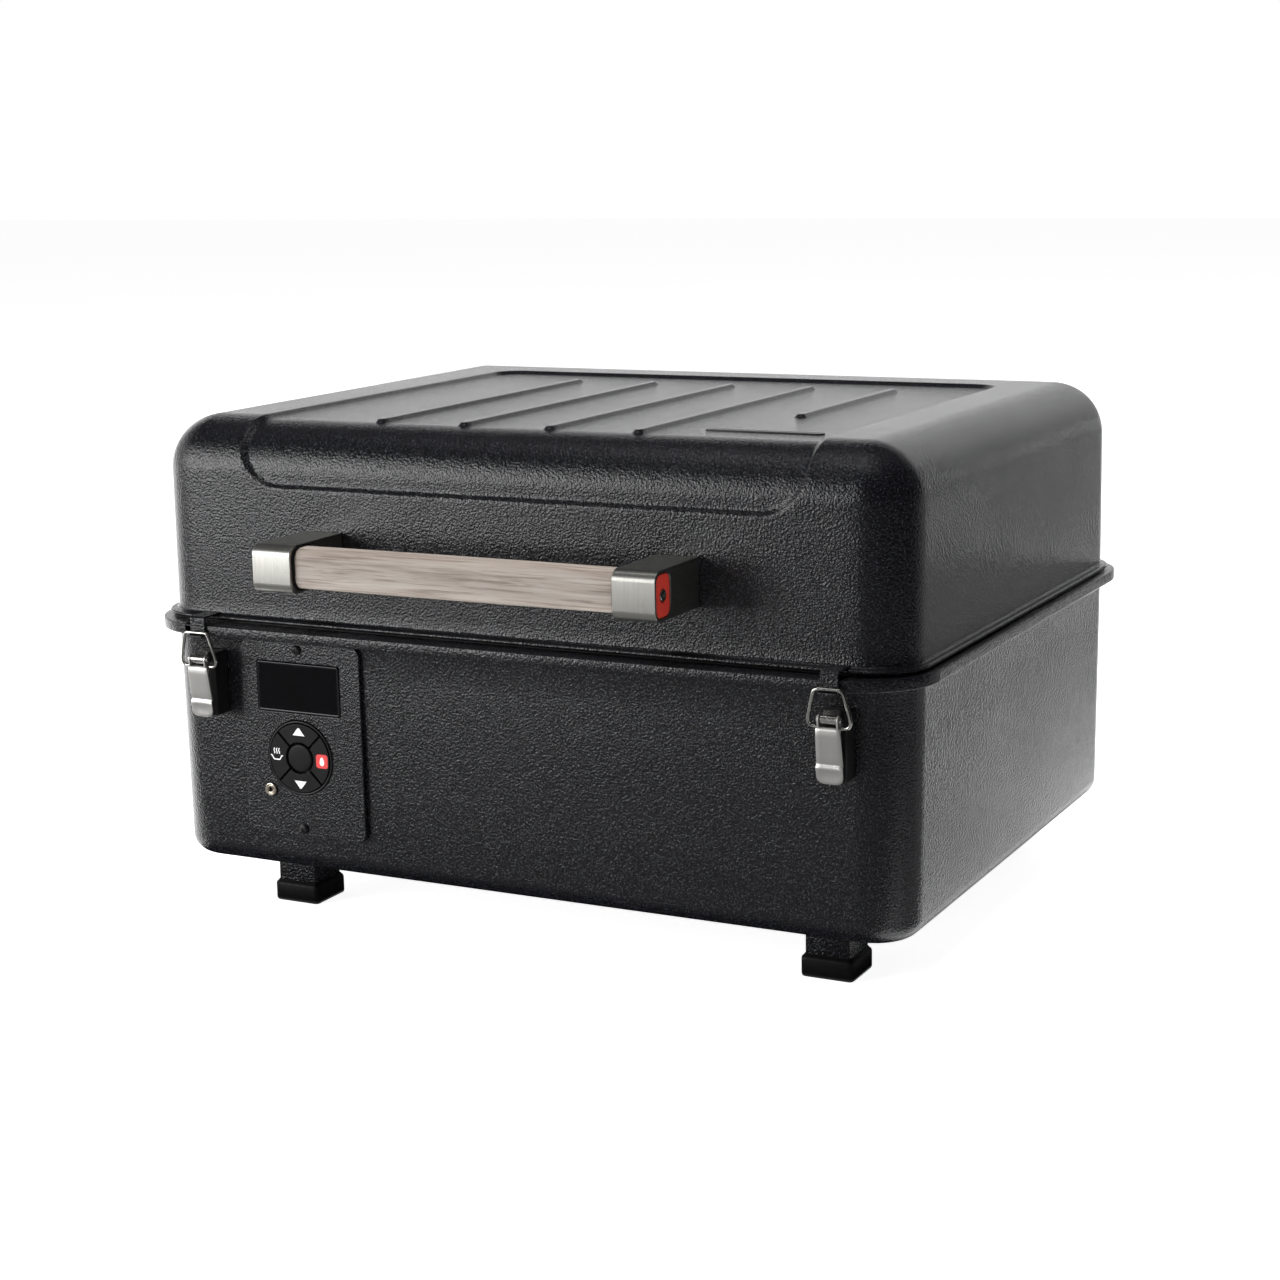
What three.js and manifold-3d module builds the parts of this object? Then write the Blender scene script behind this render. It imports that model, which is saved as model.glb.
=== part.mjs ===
// Portable table-top pellet smoker grill.
//
// Units are millimetres and +Z is up. Every piece is laid out with y = 0 in the middle of the rim
// flange, and the whole group is then moved so that its origin is the centre of the bounding box
// on the surface that the feet stand on. -Y is the front, with the control panel at its left.
//
// Run it with the npm packages three and manifold-3d.
import * as THREE from "three";
import { mergeVertices } from "three/addons/utils/BufferGeometryUtils.js";
import Module from "manifold-3d";

const wasm = await Module();
wasm.setup();

// ---------------------------------------------------------------- driving dimensions
const GAP = 0.3; // clearance between neighbouring pieces
const SEAM_Z = 197.7; // top of the lower shell's rim
const RIM = { x0: -266.5, x1: 266.5, y0: -220.5, y1: 220.5, r: 49 }; // lower shell's rim flange
const RIM_THICKNESS = 7;
const WALL = { x0: -258, x1: 258, y0: -203, y1: 200.2, r: 31 }; // outside of both shells at the seam
const SHEET = 2.5; // wall thickness of both shells
const BODY_BOTTOM = 36.8;
const BODY_EDGE_R = 12.3; // radius along the bottom edge
const BODY_DRAFT = Math.tan(THREE.MathUtils.degToRad(0.45));
const LID_BOTTOM = 199.3;
const LID_TOP = 327.4;
const LID_EDGE_R = 34.4; // radius along the lid's top edge
const LID_DRAFT = Math.tan(THREE.MathUtils.degToRad(0.35));
const LID_RIM = { x0: -262, x1: 262, y0: -208.5, y1: 204.5, r: 33 };
const LID_RIM_THICKNESS = 2.6;
const RECESS = { x0: -189, x1: 196, y1: 136, z0: 286.4, depth: 2.2, corner: 18, frontCorner: 25 };
const RIB_HEIGHT = 1.8;
const RIB_WIDTH = 9;
const RIBS = [-104.5, -44.5, 15.5, 75.5, 135.5].map((x, i) => ({ x, y0: i < 4 ? -172 : -68, y1: 96 }));

const HINGE = { y: 225, z: 200.5, r: 3.6, pin: 1.8, halfWidth: 30, xs: [-150, 150] };
const FOOT = { x0: 174.3, x1: 208.7, y0: -160.6, y1: -126.6, z0: -1.3, z1: 13.1, wall: 2.1, sole: 3 };

const HANDLE = { y0: -260, y1: -203.1, z0: 230.3, z1: 259.8, r: 6.5, left: -141.5, right: 131, block: 27.5 };
const GRIP = { y0: -256.6, y1: -236.4, z0: 232.9, z1: 258.3, r: 7 };
const CAP = { y0: -258.4, y1: -240.6, z0: 232.4, z1: 257.8, r: 5.5, depth: 3 };

const PANEL = { x0: -193.4, x1: -104, z0: 61.3, z1: 188, front: -205.8, back: -203.4, r: 6 };
const SHELL_WINDOW = { x0: -185, x1: -112, z0: 72, z1: 177 }; // opening in the wall behind the panel
const DISPLAY = { x0: -181.2, x1: -119.4, z0: 142.3, z1: 174.5 };
const KEYPAD = { x: -151, z: 113, r: 24.3, ring: 1.3, keyR: 22.4, centreR: 9, gap: 1.4 };
const JACK = { x: -174.4, z: 90.3, r: 4.3, bore: 1.6 };
const PANEL_SCREWS = { x: -150.3, zs: [183.4, 66.4], r: 3.3, height: 2.2 };

const LATCH = {
  xs: [-214, 219.5],
  pivot: { y: -222.5, z: 175.8 }, // lever on its base
  bailPivot: { y: -221.9, z: 171.3 }, // bail on its lever
  bar: { y: -223.9, z: 193.2 }, // top bar of the bail
  wire: 1.1, // radius of the bail's wire
  half: 8.2,
  block: { y0: -217, y1: -203.9, z0: 137.8, z1: 179 },
  plate: { top: 170.4, front: -225.4, length: 33.2, thickness: 1.2, lean: 9.6 }, // lean in degrees, tip inwards
  barrel: { r: 2.7, half: 4.8 }, // fixed roll between the lever's cheeks
  pin: { r: 1.2, half: 7.2, headR: 2.2, head: 0.7 },
  cheek: { x: 5.85, half: 0.7, bore: 1.5 },
  keeper: { half: 5.5, front: -222.4, ledge: -226.4, z0: 190.6, z1: 203.4, sheet: 1.2 },
};

const GASKET = { x0: -260.5, x1: 260.5, y0: -206.5, y1: 203, r: 32, z0: 198, z1: 199, width: 4.8 };
const LEAF = { shellY: 220.8, lidY: 200.9, sheet: 1.6, bottom: 182, top: 228 }; // hinge leaves
const LID_VENTS = { count: 7, x0: -72, pitch: 22, width: 12, z: [262, 268] };
const AIR_SLOTS = { count: 6, x0: -128, pitch: 9, width: 4.5, z: [62, 98] }; // behind the fan
const FLOOR_SLOTS = { count: 5, x0: -140, pitch: 10, width: 5, y: [80, 130] };
const CAP_SCREW = { r: 3.4, hole: 3.8, hex: 1.9, hexDepth: 1.4, proud: 0.2 };
const HOUSING = { x0: -188, x1: -110, y0: -198.8, y1: -150, z0: 69, z1: 180, sheet: 2 };

const LINER = { x0: -88, x1: 246, y0: -188, y1: 186, r: 12, z0: 58, z1: 196, sheet: 1.5, lip: 6, lipR: 20 };
const POT = { x: 79, y: 0, r: 40, wall: 2.5, z0: 60.2, z1: 122 };
const AUGER = { y: 0, z: 84, tubeR: 22, boreR: 20, screwR: 18, shaftR: 5, x0: -200, x1: 38.7, pitch: 36 };
const DECK = { x0: -252, x1: -95, y0: -199, y1: 196, z0: 186, z1: 188 };
const HOPPER = { x0: -228, x1: -116, y0: -96, y1: 156 };
const OUTLET = { x0: -194, x1: -152, y0: -24, y1: 24, z0: 107, z1: 114 };
const FLAP = { x0: -232, x1: -111, y0: -100, y1: 160, axisZ: 190.6, r: 2 };
const FAN = { x0: -132, x1: -107, y: 100, z: 82, half: 40, bore: 37, hub: 15, blade: 35 };
const GRATE = { x0: -83, x1: 241, y0: -182, y1: 180, z0: 183, z1: 190, slots: 18, slotWidth: 11 };
const TRAY = { x0: -70, x1: 232, y0: -178, y1: 176, z0: 143.3, rim: 8, sheet: 1.5 };
const CUP = { x: 208, y: -150, r: 24, z0: 60.2, z1: 105, sheet: 1.2 };
const MOTOR = { x0: -249, x1: -203, half: 30, z0: 54, z1: 114, x: -226, z: 84, r: 22, end: 58 };
const PROBE = { y: -60, z: 164, r: 3, x0: -96, x1: -40 };
const IGNITER = { x: POT.x, z: 71, r: 4, y0: -84, y1: -33 };
const RAILS = { x: [-60, 220], grateZ: [178.5, 182.7], grateReach: 10, trayZ: [139.5, 143], trayReach: 16 };
const INLET = {
  x0: -215,
  x1: -151,
  z0: 75,
  z1: 107,
  face: 203,
  back: 200.6,
  inner: { x: [-212, -154], z: [80, 102], front: 178 },
  socket: { x: [-209.5, -186.5], z: [83, 99], depth: 182 },
  bay: { x: [-176.5, -155.9], z: [84, 98], depth: 186 },
  pins: [[-203.5, 88.5], [-198, 93.5], [-192.5, 88.5]],
};

// ---------------------------------------------------------------- solids
// A closed three.js geometry as a manifold solid.
function solid(geometry) {
  const bare = geometry.index ? geometry.toNonIndexed() : geometry.clone();
  bare.deleteAttribute("normal");
  bare.deleteAttribute("uv");
  const merged = mergeVertices(bare, 1e-4);
  const vertProperties = merged.attributes.position.array;
  const triVerts = new Uint32Array(merged.index.array);
  return new wasm.Manifold(new wasm.Mesh({ numProp: 3, vertProperties, triVerts }));
}

// A block between two corners, each range as [low, high].
function block([x0, x1], [y0, y1], [z0, z1]) {
  const g = new THREE.BoxGeometry(x1 - x0, y1 - y0, z1 - z0);
  return solid(g.translate((x0 + x1) / 2, (y0 + y1) / 2, (z0 + z1) / 2));
}

// A round bar along an axis ("x", "y" or "z") between two stations, through the point at.
function bar(axis, r, from, to, at, segments = 20) {
  const g = new THREE.CylinderGeometry(r, r, to - from, segments);
  if (axis === "x") g.rotateZ(-Math.PI / 2);
  if (axis === "z") g.rotateX(Math.PI / 2);
  const middle = (from + to) / 2;
  const centre = { x: at.x ?? 0, y: at.y ?? 0, z: at.z ?? 0 };
  centre[axis] = middle;
  return solid(g.translate(centre.x, centre.y, centre.z));
}

// The outline of a rounded rectangle pulled in by inset, anticlockwise from above.
function ring(shape, inset, z, steps = 4) {
  const r = Math.max(shape.r - inset, 0.5);
  const points = [];
  const corners = [
    [shape.x1, shape.y1, 0],
    [shape.x0, shape.y1, 90],
    [shape.x0, shape.y0, 180],
    [shape.x1, shape.y0, 270],
  ];
  for (const [cx, cy, start] of corners) {
    const x = cx - Math.sign(cx - (shape.x0 + shape.x1) / 2) * (inset + r);
    const y = cy - Math.sign(cy - (shape.y0 + shape.y1) / 2) * (inset + r);
    for (let i = 0; i <= steps; i++) {
      const a = THREE.MathUtils.degToRad(start + (90 * i) / steps);
      points.push([x + r * Math.cos(a), y + r * Math.sin(a), z]);
    }
  }
  return points;
}

// A solid skinned over convex outlines of equal count, from the lowest to the highest.
function loft(rings) {
  const count = rings[0].length;
  const index = [];
  for (let k = 0; k + 1 < rings.length; k++) {
    for (let j = 0; j < count; j++) {
      const a = k * count + j;
      const b = k * count + ((j + 1) % count);
      index.push(a, b, b + count, a, b + count, a + count);
    }
  }
  const last = (rings.length - 1) * count;
  for (let j = 1; j + 1 < count; j++) {
    index.push(0, j + 1, j);
    index.push(last, last + j, last + j + 1);
  }
  const g = new THREE.BufferGeometry();
  g.setAttribute("position", new THREE.BufferAttribute(new Float32Array(rings.flat(2)), 3));
  g.setIndex(index);
  return solid(g);
}

// A rounded plate between two heights.
function slab(shape, z0, z1, inset = 0) {
  return loft([ring(shape, inset, z0), ring(shape, inset, z1)]);
}

// A rounded rectangle in the XZ plane, extruded along Y.
function frontPlate({ x0, x1, z0, z1, r }, yFront, yBack) {
  const s = new THREE.Shape();
  s.moveTo(x0 + r, z0);
  s.lineTo(x1 - r, z0);
  s.absarc(x1 - r, z0 + r, r, -Math.PI / 2, 0);
  s.lineTo(x1, z1 - r);
  s.absarc(x1 - r, z1 - r, r, 0, Math.PI / 2);
  s.lineTo(x0 + r, z1);
  s.absarc(x0 + r, z1 - r, r, Math.PI / 2, Math.PI);
  s.lineTo(x0, z0 + r);
  s.absarc(x0 + r, z0 + r, r, Math.PI, Math.PI * 1.5);
  const g = new THREE.ExtrudeGeometry(s, { depth: yBack - yFront, bevelEnabled: false, curveSegments: 4 });
  return solid(g.rotateX(Math.PI / 2).translate(0, yBack, 0));
}

// An outline in the YZ plane, extruded along X.
function sidePlate(outline, x0, x1, curveSegments = 5) {
  const g = new THREE.ExtrudeGeometry(outline, { depth: x1 - x0, bevelEnabled: false, curveSegments });
  g.applyMatrix4(new THREE.Matrix4().makeBasis(
    new THREE.Vector3(0, 1, 0),
    new THREE.Vector3(0, 0, 1),
    new THREE.Vector3(1, 0, 0),
  ));
  return solid(g.translate(x0, 0, 0));
}

// The side outline of a handle block: square at the wall, round at the front.
function roundedFront({ y0, y1, z0, z1, r }) {
  const s = new THREE.Shape();
  s.moveTo(y1, z0);
  s.lineTo(y1, z1);
  s.lineTo(y0 + r, z1);
  s.absarc(y0 + r, z1 - r, r, Math.PI / 2, Math.PI);
  s.lineTo(y0, z0 + r);
  s.absarc(y0 + r, z0 + r, r, Math.PI, Math.PI * 1.5);
  s.closePath();
  return s;
}

// A rounded rectangle as a side outline.
function roundedSide({ y0, y1, z0, z1, r }, inset = 0) {
  const s = new THREE.Shape();
  const k = r - inset;
  s.moveTo(y0 + r, z0 + inset);
  s.absarc(y1 - r, z0 + r, k, -Math.PI / 2, 0);
  s.absarc(y1 - r, z1 - r, k, 0, Math.PI / 2);
  s.absarc(y0 + r, z1 - r, k, Math.PI / 2, Math.PI);
  s.absarc(y0 + r, z0 + r, k, Math.PI, Math.PI * 1.5);
  return s;
}

// A range grown at both ends.
function wider([lo, hi], by) {
  return [lo - by, hi + by];
}

function join(first, ...rest) {
  return rest.reduce((sum, s) => sum.add(s), first);
}

function cut(first, ...rest) {
  return rest.reduce((left, s) => left.subtract(s), first);
}

// ---------------------------------------------------------------- scene graph
const grill = new THREE.Group();

function piece(name, made, color, roughness, metalness) {
  const { vertProperties, triVerts, numProp } = made.getMesh();
  const position = new Float32Array((vertProperties.length / numProp) * 3);
  for (let i = 0; i * numProp < vertProperties.length; i++) {
    position.set(vertProperties.subarray(i * numProp, i * numProp + 3), i * 3);
  }
  const g = new THREE.BufferGeometry();
  g.setAttribute("position", new THREE.BufferAttribute(position, 3));
  g.setIndex(new THREE.BufferAttribute(triVerts, 1));
  g.computeVertexNormals();
  const mesh = new THREE.Mesh(g, new THREE.MeshStandardMaterial({ color, roughness, metalness }));
  mesh.name = name;
  grill.add(mesh);
  return mesh;
}

const COAT = [0x232325, 0.6, 0.3]; // textured black powder coat
const DARK = [0x101011, 0.5, 0.4]; // plain black paint
const STEEL = [0xb9bbbd, 0.3, 0.9]; // bright steel
const NICKEL = [0xa8a7a1, 0.35, 0.9]; // brushed nickel
const RUBBER = [0x0b0b0b, 0.9, 0.0];
const IRON = [0x1c1b1a, 0.7, 0.4]; // enamelled cast iron
const PLASTIC = [0x161617, 0.5, 0.0];

// ---------------------------------------------------------------- lower shell
const bodyDepth = SEAM_Z - BODY_BOTTOM;

// Rings of the drafted tub with a rounded bottom edge, pulled in by the wall thickness t.
function tubRings(t) {
  const bottom = BODY_BOTTOM + t;
  const edge = BODY_EDGE_R - t;
  const rings = [];
  for (let a = 0; a <= 90; a += 22.5) {
    const c = THREE.MathUtils.degToRad(a);
    const inset = t + BODY_DRAFT * (bodyDepth - BODY_EDGE_R) + edge * (1 - Math.sin(c));
    rings.push(ring(WALL, inset, bottom + edge * (1 - Math.cos(c))));
  }
  return rings;
}

function slotRow({ count, x0, pitch, width }, y, z) {
  const cuts = [];
  for (let i = 0; i < count; i++) cuts.push(block([x0 + i * pitch, x0 + i * pitch + width], y, z));
  return join(...cuts);
}

function lowerShell() {
  const outside = loft([...tubRings(0), ring(WALL, 0, SEAM_Z)]);
  const rim = loft([
    ring(RIM, 1, SEAM_Z - RIM_THICKNESS),
    ring(RIM, 0, SEAM_Z - RIM_THICKNESS + 1),
    ring(RIM, 0, SEAM_Z - 1),
    ring(RIM, 1, SEAM_Z),
  ]);
  const inside = loft([...tubRings(SHEET), ring(WALL, SHEET, SEAM_Z + 1)]);
  const panelOpening = block(
    [SHELL_WINDOW.x0, SHELL_WINDOW.x1],
    [WALL.y0 - 5, WALL.y0 + 8],
    [SHELL_WINDOW.z0, SHELL_WINDOW.z1],
  );
  const throughRear = [WALL.y1 - 8, WALL.y1 + 5];
  const { inner } = INLET;
  const inletOpening = block(wider(inner.x, 0.5), throughRear, wider(inner.z, 0.5));
  const airSlots = slotRow(AIR_SLOTS, throughRear, AIR_SLOTS.z);
  const floorSlots = slotRow(FLOOR_SLOTS, FLOOR_SLOTS.y, [BODY_BOTTOM - 2, BODY_BOTTOM + 5]);
  return cut(join(outside, rim), inside, panelOpening, inletOpening, airSlots, floorSlots);
}
piece("lower_shell", lowerShell(), ...COAT);

// ---------------------------------------------------------------- feet
for (const [end, sy] of [["front", 1], ["rear", -1]]) {
  for (const [side, sx] of [["left", -1], ["right", 1]]) {
    const xs = [sx * FOOT.x0, sx * FOOT.x1].sort((a, b) => a - b);
    const ys = [sy * FOOT.y0, sy * FOOT.y1].sort((a, b) => a - b);
    const sole = FOOT.z0 + FOOT.sole;
    const inset = -FOOT.wall - GAP;
    const leg = block(wider(xs, inset), wider(ys, inset), [sole + GAP, BODY_BOTTOM - GAP]);
    const outside = { x0: xs[0], x1: xs[1], y0: ys[0], y1: ys[1], r: 2.5 };
    const socket = block(wider(xs, -FOOT.wall), wider(ys, -FOOT.wall), [sole, FOOT.z1 + 1]);
    piece(`leg_${end}_${side}`, leg, ...DARK);
    piece(`foot_boot_${end}_${side}`, cut(slab(outside, FOOT.z0, FOOT.z1), socket), ...RUBBER);
  }
}

// ---------------------------------------------------------------- lid
// Rings of the lid's dome, pulled in by t at the sides and by top at the crown.
function domeRings(shape, t, zStart, top) {
  const edge = LID_EDGE_R - t;
  const spring = LID_TOP - top - edge;
  const rings = [ring(shape, t, zStart)];
  for (let a = 0; a <= 90; a += 18) {
    const c = THREE.MathUtils.degToRad(a);
    const inset = t + LID_DRAFT * (LID_TOP - LID_EDGE_R - LID_BOTTOM) + edge * (1 - Math.cos(c));
    rings.push(ring(shape, inset, spring + edge * Math.sin(c)));
  }
  return rings;
}

// The volume in which the pressed recess lies: the lid's top, and the front above its lower edge.
function recessZone() {
  const { x0, x1, y1, z0, corner, frontCorner } = RECESS;
  const onTop = slab({ x0, x1, y0: -260, y1, r: corner }, z0 - 20, LID_TOP + 10);
  const onFront = frontPlate({ x0, x1, z0, z1: LID_TOP + 60, r: frontCorner }, -260, y1 + 10);
  return onTop.intersect(onFront);
}

function rib({ x, y0, y1 }) {
  const floor = LID_TOP - RECESS.depth;
  const foot = { x0: x - RIB_WIDTH / 2, x1: x + RIB_WIDTH / 2, y0, y1, r: 4.4 };
  return loft([ring(foot, 0, floor - 1, 2), ring(foot, 2.4, floor + RIB_HEIGHT, 2)]);
}

function lidShell() {
  const dome = loft(domeRings(WALL, 0, LID_BOTTOM, 0));
  const pressed = loft(domeRings(WALL, RECESS.depth, LID_BOTTOM - 1, RECESS.depth));
  const recess = cut(recessZone(), pressed);
  const rim = loft([
    ring(LID_RIM, 0.6, LID_BOTTOM),
    ring(LID_RIM, 0, LID_BOTTOM + 0.6),
    ring(LID_RIM, 0, LID_BOTTOM + LID_RIM_THICKNESS - 0.6),
    ring(LID_RIM, 0.6, LID_BOTTOM + LID_RIM_THICKNESS),
  ]);
  const hollowShape = { ...WALL, y0: WALL.y0 + RECESS.depth };
  const hollow = loft(domeRings(hollowShape, SHEET, LID_BOTTOM - 1, SHEET + RECESS.depth));
  const vents = slotRow(LID_VENTS, [WALL.y1 - 12, WALL.y1 + 5], LID_VENTS.z);
  return cut(join(cut(dome, recess), rim, ...RIBS.map(rib)), hollow, vents);
}
piece("lid_shell", lidShell(), ...COAT);

const gasketHole = slab(GASKET, GASKET.z0 - 1, GASKET.z1 + 1, GASKET.width);
piece("lid_gasket", cut(slab(GASKET, GASKET.z0, GASKET.z1), gasketHole), ...RUBBER);

// ---------------------------------------------------------------- lid hinges
// Pin and outer knuckles on the shell's leaf, the middle knuckle on the lid's leaf.
for (const [side, x] of [["left", HINGE.xs[0]], ["right", HINGE.xs[1]]]) {
  const { y, z, r, pin, halfWidth } = HINGE;
  const third = halfWidth / 3;
  const at = { y, z };
  const { shellY, lidY, sheet, bottom, top } = LEAF;
  const wide = [x - halfWidth, x + halfWidth];
  const plate = block(wide, [shellY, shellY + sheet], [bottom, z]);
  const notch = block(wider([x - third, x + third], GAP), [shellY - 1, y + r + 1], [z - r - 1.1, z + r + 6]);
  const shellLeaf = join(
    cut(plate, notch),
    bar("x", r, x - halfWidth, x - third - GAP, at, 16),
    bar("x", r, x + third + GAP, x + halfWidth, at, 16),
    bar("x", pin, x - halfWidth + 1, x + halfWidth - 1, at, 12),
  );
  const tongue = block([x - third, x + third], [lidY, y], [z + r - sheet, z + r]);
  const backPlate = block(wide, [lidY, lidY + sheet], [z + r - sheet, top]);
  const knuckle = join(bar("x", r, x - third, x + third, at, 16), tongue, backPlate);
  const bore = bar("x", pin + GAP, x - third - 1, x + third + 1, at, 12);
  piece(`hinge_leaf_shell_${side}`, shellLeaf, ...DARK);
  piece(`hinge_leaf_lid_${side}`, cut(knuckle, bore), ...DARK);
}

// ---------------------------------------------------------------- handle
for (const [side, out] of [["left", -1], ["right", 1]]) {
  const face = out < 0 ? HANDLE.left : HANDLE.right; // outer side face of the block
  const inner = face - out * HANDLE.block;
  const span = (a, b) => [Math.min(a, b), Math.max(a, b)];
  const body = sidePlate(roundedFront(HANDLE), ...span(face, inner));
  const pocket = sidePlate(roundedSide(CAP), ...span(face + out, face - out * CAP.depth));
  const capBody = sidePlate(roundedSide(CAP, GAP), ...span(face - out * GAP, face - out * (CAP.depth - GAP)));
  const centre = { y: (CAP.y0 + CAP.y1) / 2, z: (CAP.z0 + CAP.z1) / 2 };
  const { r, hole: clear, hex: across, hexDepth, proud } = CAP_SCREW;
  const hole = bar("x", clear, ...span(face + out, face - out * 5), centre, 16);
  const head = bar("x", r, ...span(face + out * proud, face - out * (CAP.depth - GAP)), centre, 16);
  const hex = bar("x", across, ...span(face + out, face - out * hexDepth), centre, 6);
  piece(`handle_bracket_${side}`, cut(body, pocket), ...NICKEL);
  piece(`handle_end_cap_${side}`, cut(capBody, hole), 0xa31a12, 0.45, 0.0);
  piece(`handle_screw_${side}`, cut(head, hex), ...STEEL);
}
const gripFrom = HANDLE.left + HANDLE.block + GAP;
const gripTo = HANDLE.right - HANDLE.block - GAP;
piece("handle_grip", sidePlate(roundedSide(GRIP), gripFrom, gripTo), 0xb7aa9b, 0.6, 0.0);

// ---------------------------------------------------------------- control panel
function controlPanel() {
  const d = DISPLAY;
  const plate = frontPlate(PANEL, PANEL.front, PANEL.back);
  const window = block([d.x0 - GAP, d.x1 + GAP], [-210, -200], [d.z0 - GAP, d.z1 + GAP]);
  const keyHole = bar("y", KEYPAD.r + GAP, -210, -200, KEYPAD, 28);
  const jackHole = bar("y", JACK.r + GAP, -210, -200, JACK, 14);
  return cut(plate, window, keyHole, jackHole);
}
piece("control_panel", controlPanel(), ...COAT);
piece("display_window", block([DISPLAY.x0, DISPLAY.x1], [-206.1, -200.8], [DISPLAY.z0, DISPLAY.z1]),
  0x050506, 0.08, 0.0);

const keyCup = cut(
  bar("y", KEYPAD.r, -206.4, -200.5, KEYPAD, 28),
  bar("y", KEYPAD.r - KEYPAD.ring, -208, -201.5, KEYPAD, 28),
);
piece("keypad_ring", keyCup, ...PLASTIC);

// The round key and the four curved keys around it, parted by diagonal gaps.
const KEY_Y = [-206.9, -203.2];
function sectorKey(angle) {
  const inner = KEYPAD.centreR + KEYPAD.gap;
  const s = new THREE.Shape();
  const edge = (r) => Math.PI / 4 - Math.asin(KEYPAD.gap / 2 / r); // half angle that leaves a straight gap
  s.absarc(0, 0, KEYPAD.keyR, angle - edge(KEYPAD.keyR), angle + edge(KEYPAD.keyR), false);
  s.absarc(0, 0, inner, angle + edge(inner), angle - edge(inner), true);
  s.closePath();
  const depth = KEY_Y[1] - KEY_Y[0];
  const g = new THREE.ExtrudeGeometry(s, { depth, bevelEnabled: false, curveSegments: 7 });
  return solid(g.rotateX(Math.PI / 2).translate(KEYPAD.x, KEY_Y[1], KEYPAD.z));
}
piece("button_centre", bar("y", KEYPAD.centreR, ...KEY_Y, KEYPAD, 20), ...PLASTIC);
for (const [name, degrees] of [["right", 0], ["up", 90], ["left", 180], ["down", 270]]) {
  piece(`button_${name}`, sectorKey(THREE.MathUtils.degToRad(degrees)), ...PLASTIC);
}

const jackBody = cut(bar("y", JACK.r, -207.4, -197, JACK, 14), bar("y", JACK.bore, -209, -199, JACK, 8));
piece("probe_jack", jackBody, ...NICKEL);

for (const [name, z] of [["top", PANEL_SCREWS.zs[0]], ["bottom", PANEL_SCREWS.zs[1]]]) {
  const { x, r, height } = PANEL_SCREWS;
  const profile = [new THREE.Vector2(0, 0), new THREE.Vector2(r, 0)];
  for (let a = 0; a <= 90; a += 30) {
    const c = THREE.MathUtils.degToRad(a);
    profile.push(new THREE.Vector2(r * Math.cos(c), 0.6 + (height - 0.6) * Math.sin(c)));
  }
  profile[profile.length - 1].x = 0;
  const turned = new THREE.LatheGeometry(profile, 14).rotateX(Math.PI).translate(x, PANEL.front - GAP, z);
  const slot = block([x - 1.8, x + 1.8], [-209.5, -207.1], [z - 0.5, z + 0.5]);
  piece(`panel_screw_${name}`, cut(solid(turned), slot), ...DARK);
}

function controllerHousing() {
  const { x0, x1, y0, y1, z0, z1, sheet } = HOUSING;
  const hollow = block([x0 + sheet, x1 - sheet], [y0 - 1, y1 - sheet], [z0 + sheet, z1 - sheet]);
  return cut(block([x0, x1], [y0, y1], [z0, z1]), hollow);
}
piece("controller_housing", controllerHousing(), ...PLASTIC);

// ---------------------------------------------------------------- latches
// A flat strap with round ends, in a plane across X.
function roundedStrap(points, rounds) {
  const s = new THREE.Shape(points.map(([y, z]) => new THREE.Vector2(y, z)));
  const { from, to } = rounds[0];
  return join(sidePlate(s, from, to), ...rounds.map((at) => bar("x", at.r, from, to, at, 10)));
}

function latchBase(x) {
  const { pivot, half, block: b, barrel, pin } = LATCH;
  const mount = block([x - half, x + half], [b.y0, b.y1], [b.z0, b.z1]);
  const web = wider([x, x], barrel.half);
  const lug = block(web, [pivot.y, b.y0 + 0.5], wider([pivot.z, pivot.z], barrel.r - 0.1));
  const roll = bar("x", barrel.r, ...web, pivot, 14);
  const core = bar("x", pin.r, x - pin.half, x + pin.half, pivot, 10);
  const heads = [-1, 1].map((s) => {
    const middle = x + s * pin.half;
    return bar("x", pin.headR, middle - pin.head / 2, middle + pin.head / 2, pivot, 12);
  });
  return join(mount, lug, roll, core, ...heads);
}

function latchLever(x) {
  const { pivot, bailPivot, half, plate: p, cheek } = LATCH;
  const cheeks = [-1, 1].map((s) => {
    const [from, to] = wider([x + s * cheek.x, x + s * cheek.x], cheek.half);
    const rounds = [
      { ...pivot, r: 3, from, to },
      { ...bailPivot, r: 2.3, from, to },
    ];
    const strap = [
      [-225.4, 175.4],
      [-225.2, 170],
      [-223.5, 160.5],
      [-222.3, 160.5],
      [-219.8, 170.6],
      [-219.7, 176],
    ];
    return cut(roundedStrap(strap, rounds), bar("x", cheek.bore, from - 1, to + 1, pivot, 8));
  });
  const face = new THREE.Shape([
    new THREE.Vector2(-half, 0),
    new THREE.Vector2(-half, 5 - p.length),
    new THREE.Vector2(-half + 1.6, 1.4 - p.length),
    new THREE.Vector2(-half + 4, -p.length),
    new THREE.Vector2(half - 4, -p.length),
    new THREE.Vector2(half - 1.6, 1.4 - p.length),
    new THREE.Vector2(half, 5 - p.length),
    new THREE.Vector2(half, 0),
  ]);
  const g = new THREE.ExtrudeGeometry(face, { depth: p.thickness, bevelEnabled: false });
  g.rotateX(Math.PI / 2).translate(0, p.thickness, 0);
  g.rotateX(THREE.MathUtils.degToRad(p.lean)).translate(x, p.front, p.top);
  const plate = solid(g);
  return join(plate, ...cheeks);
}

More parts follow.
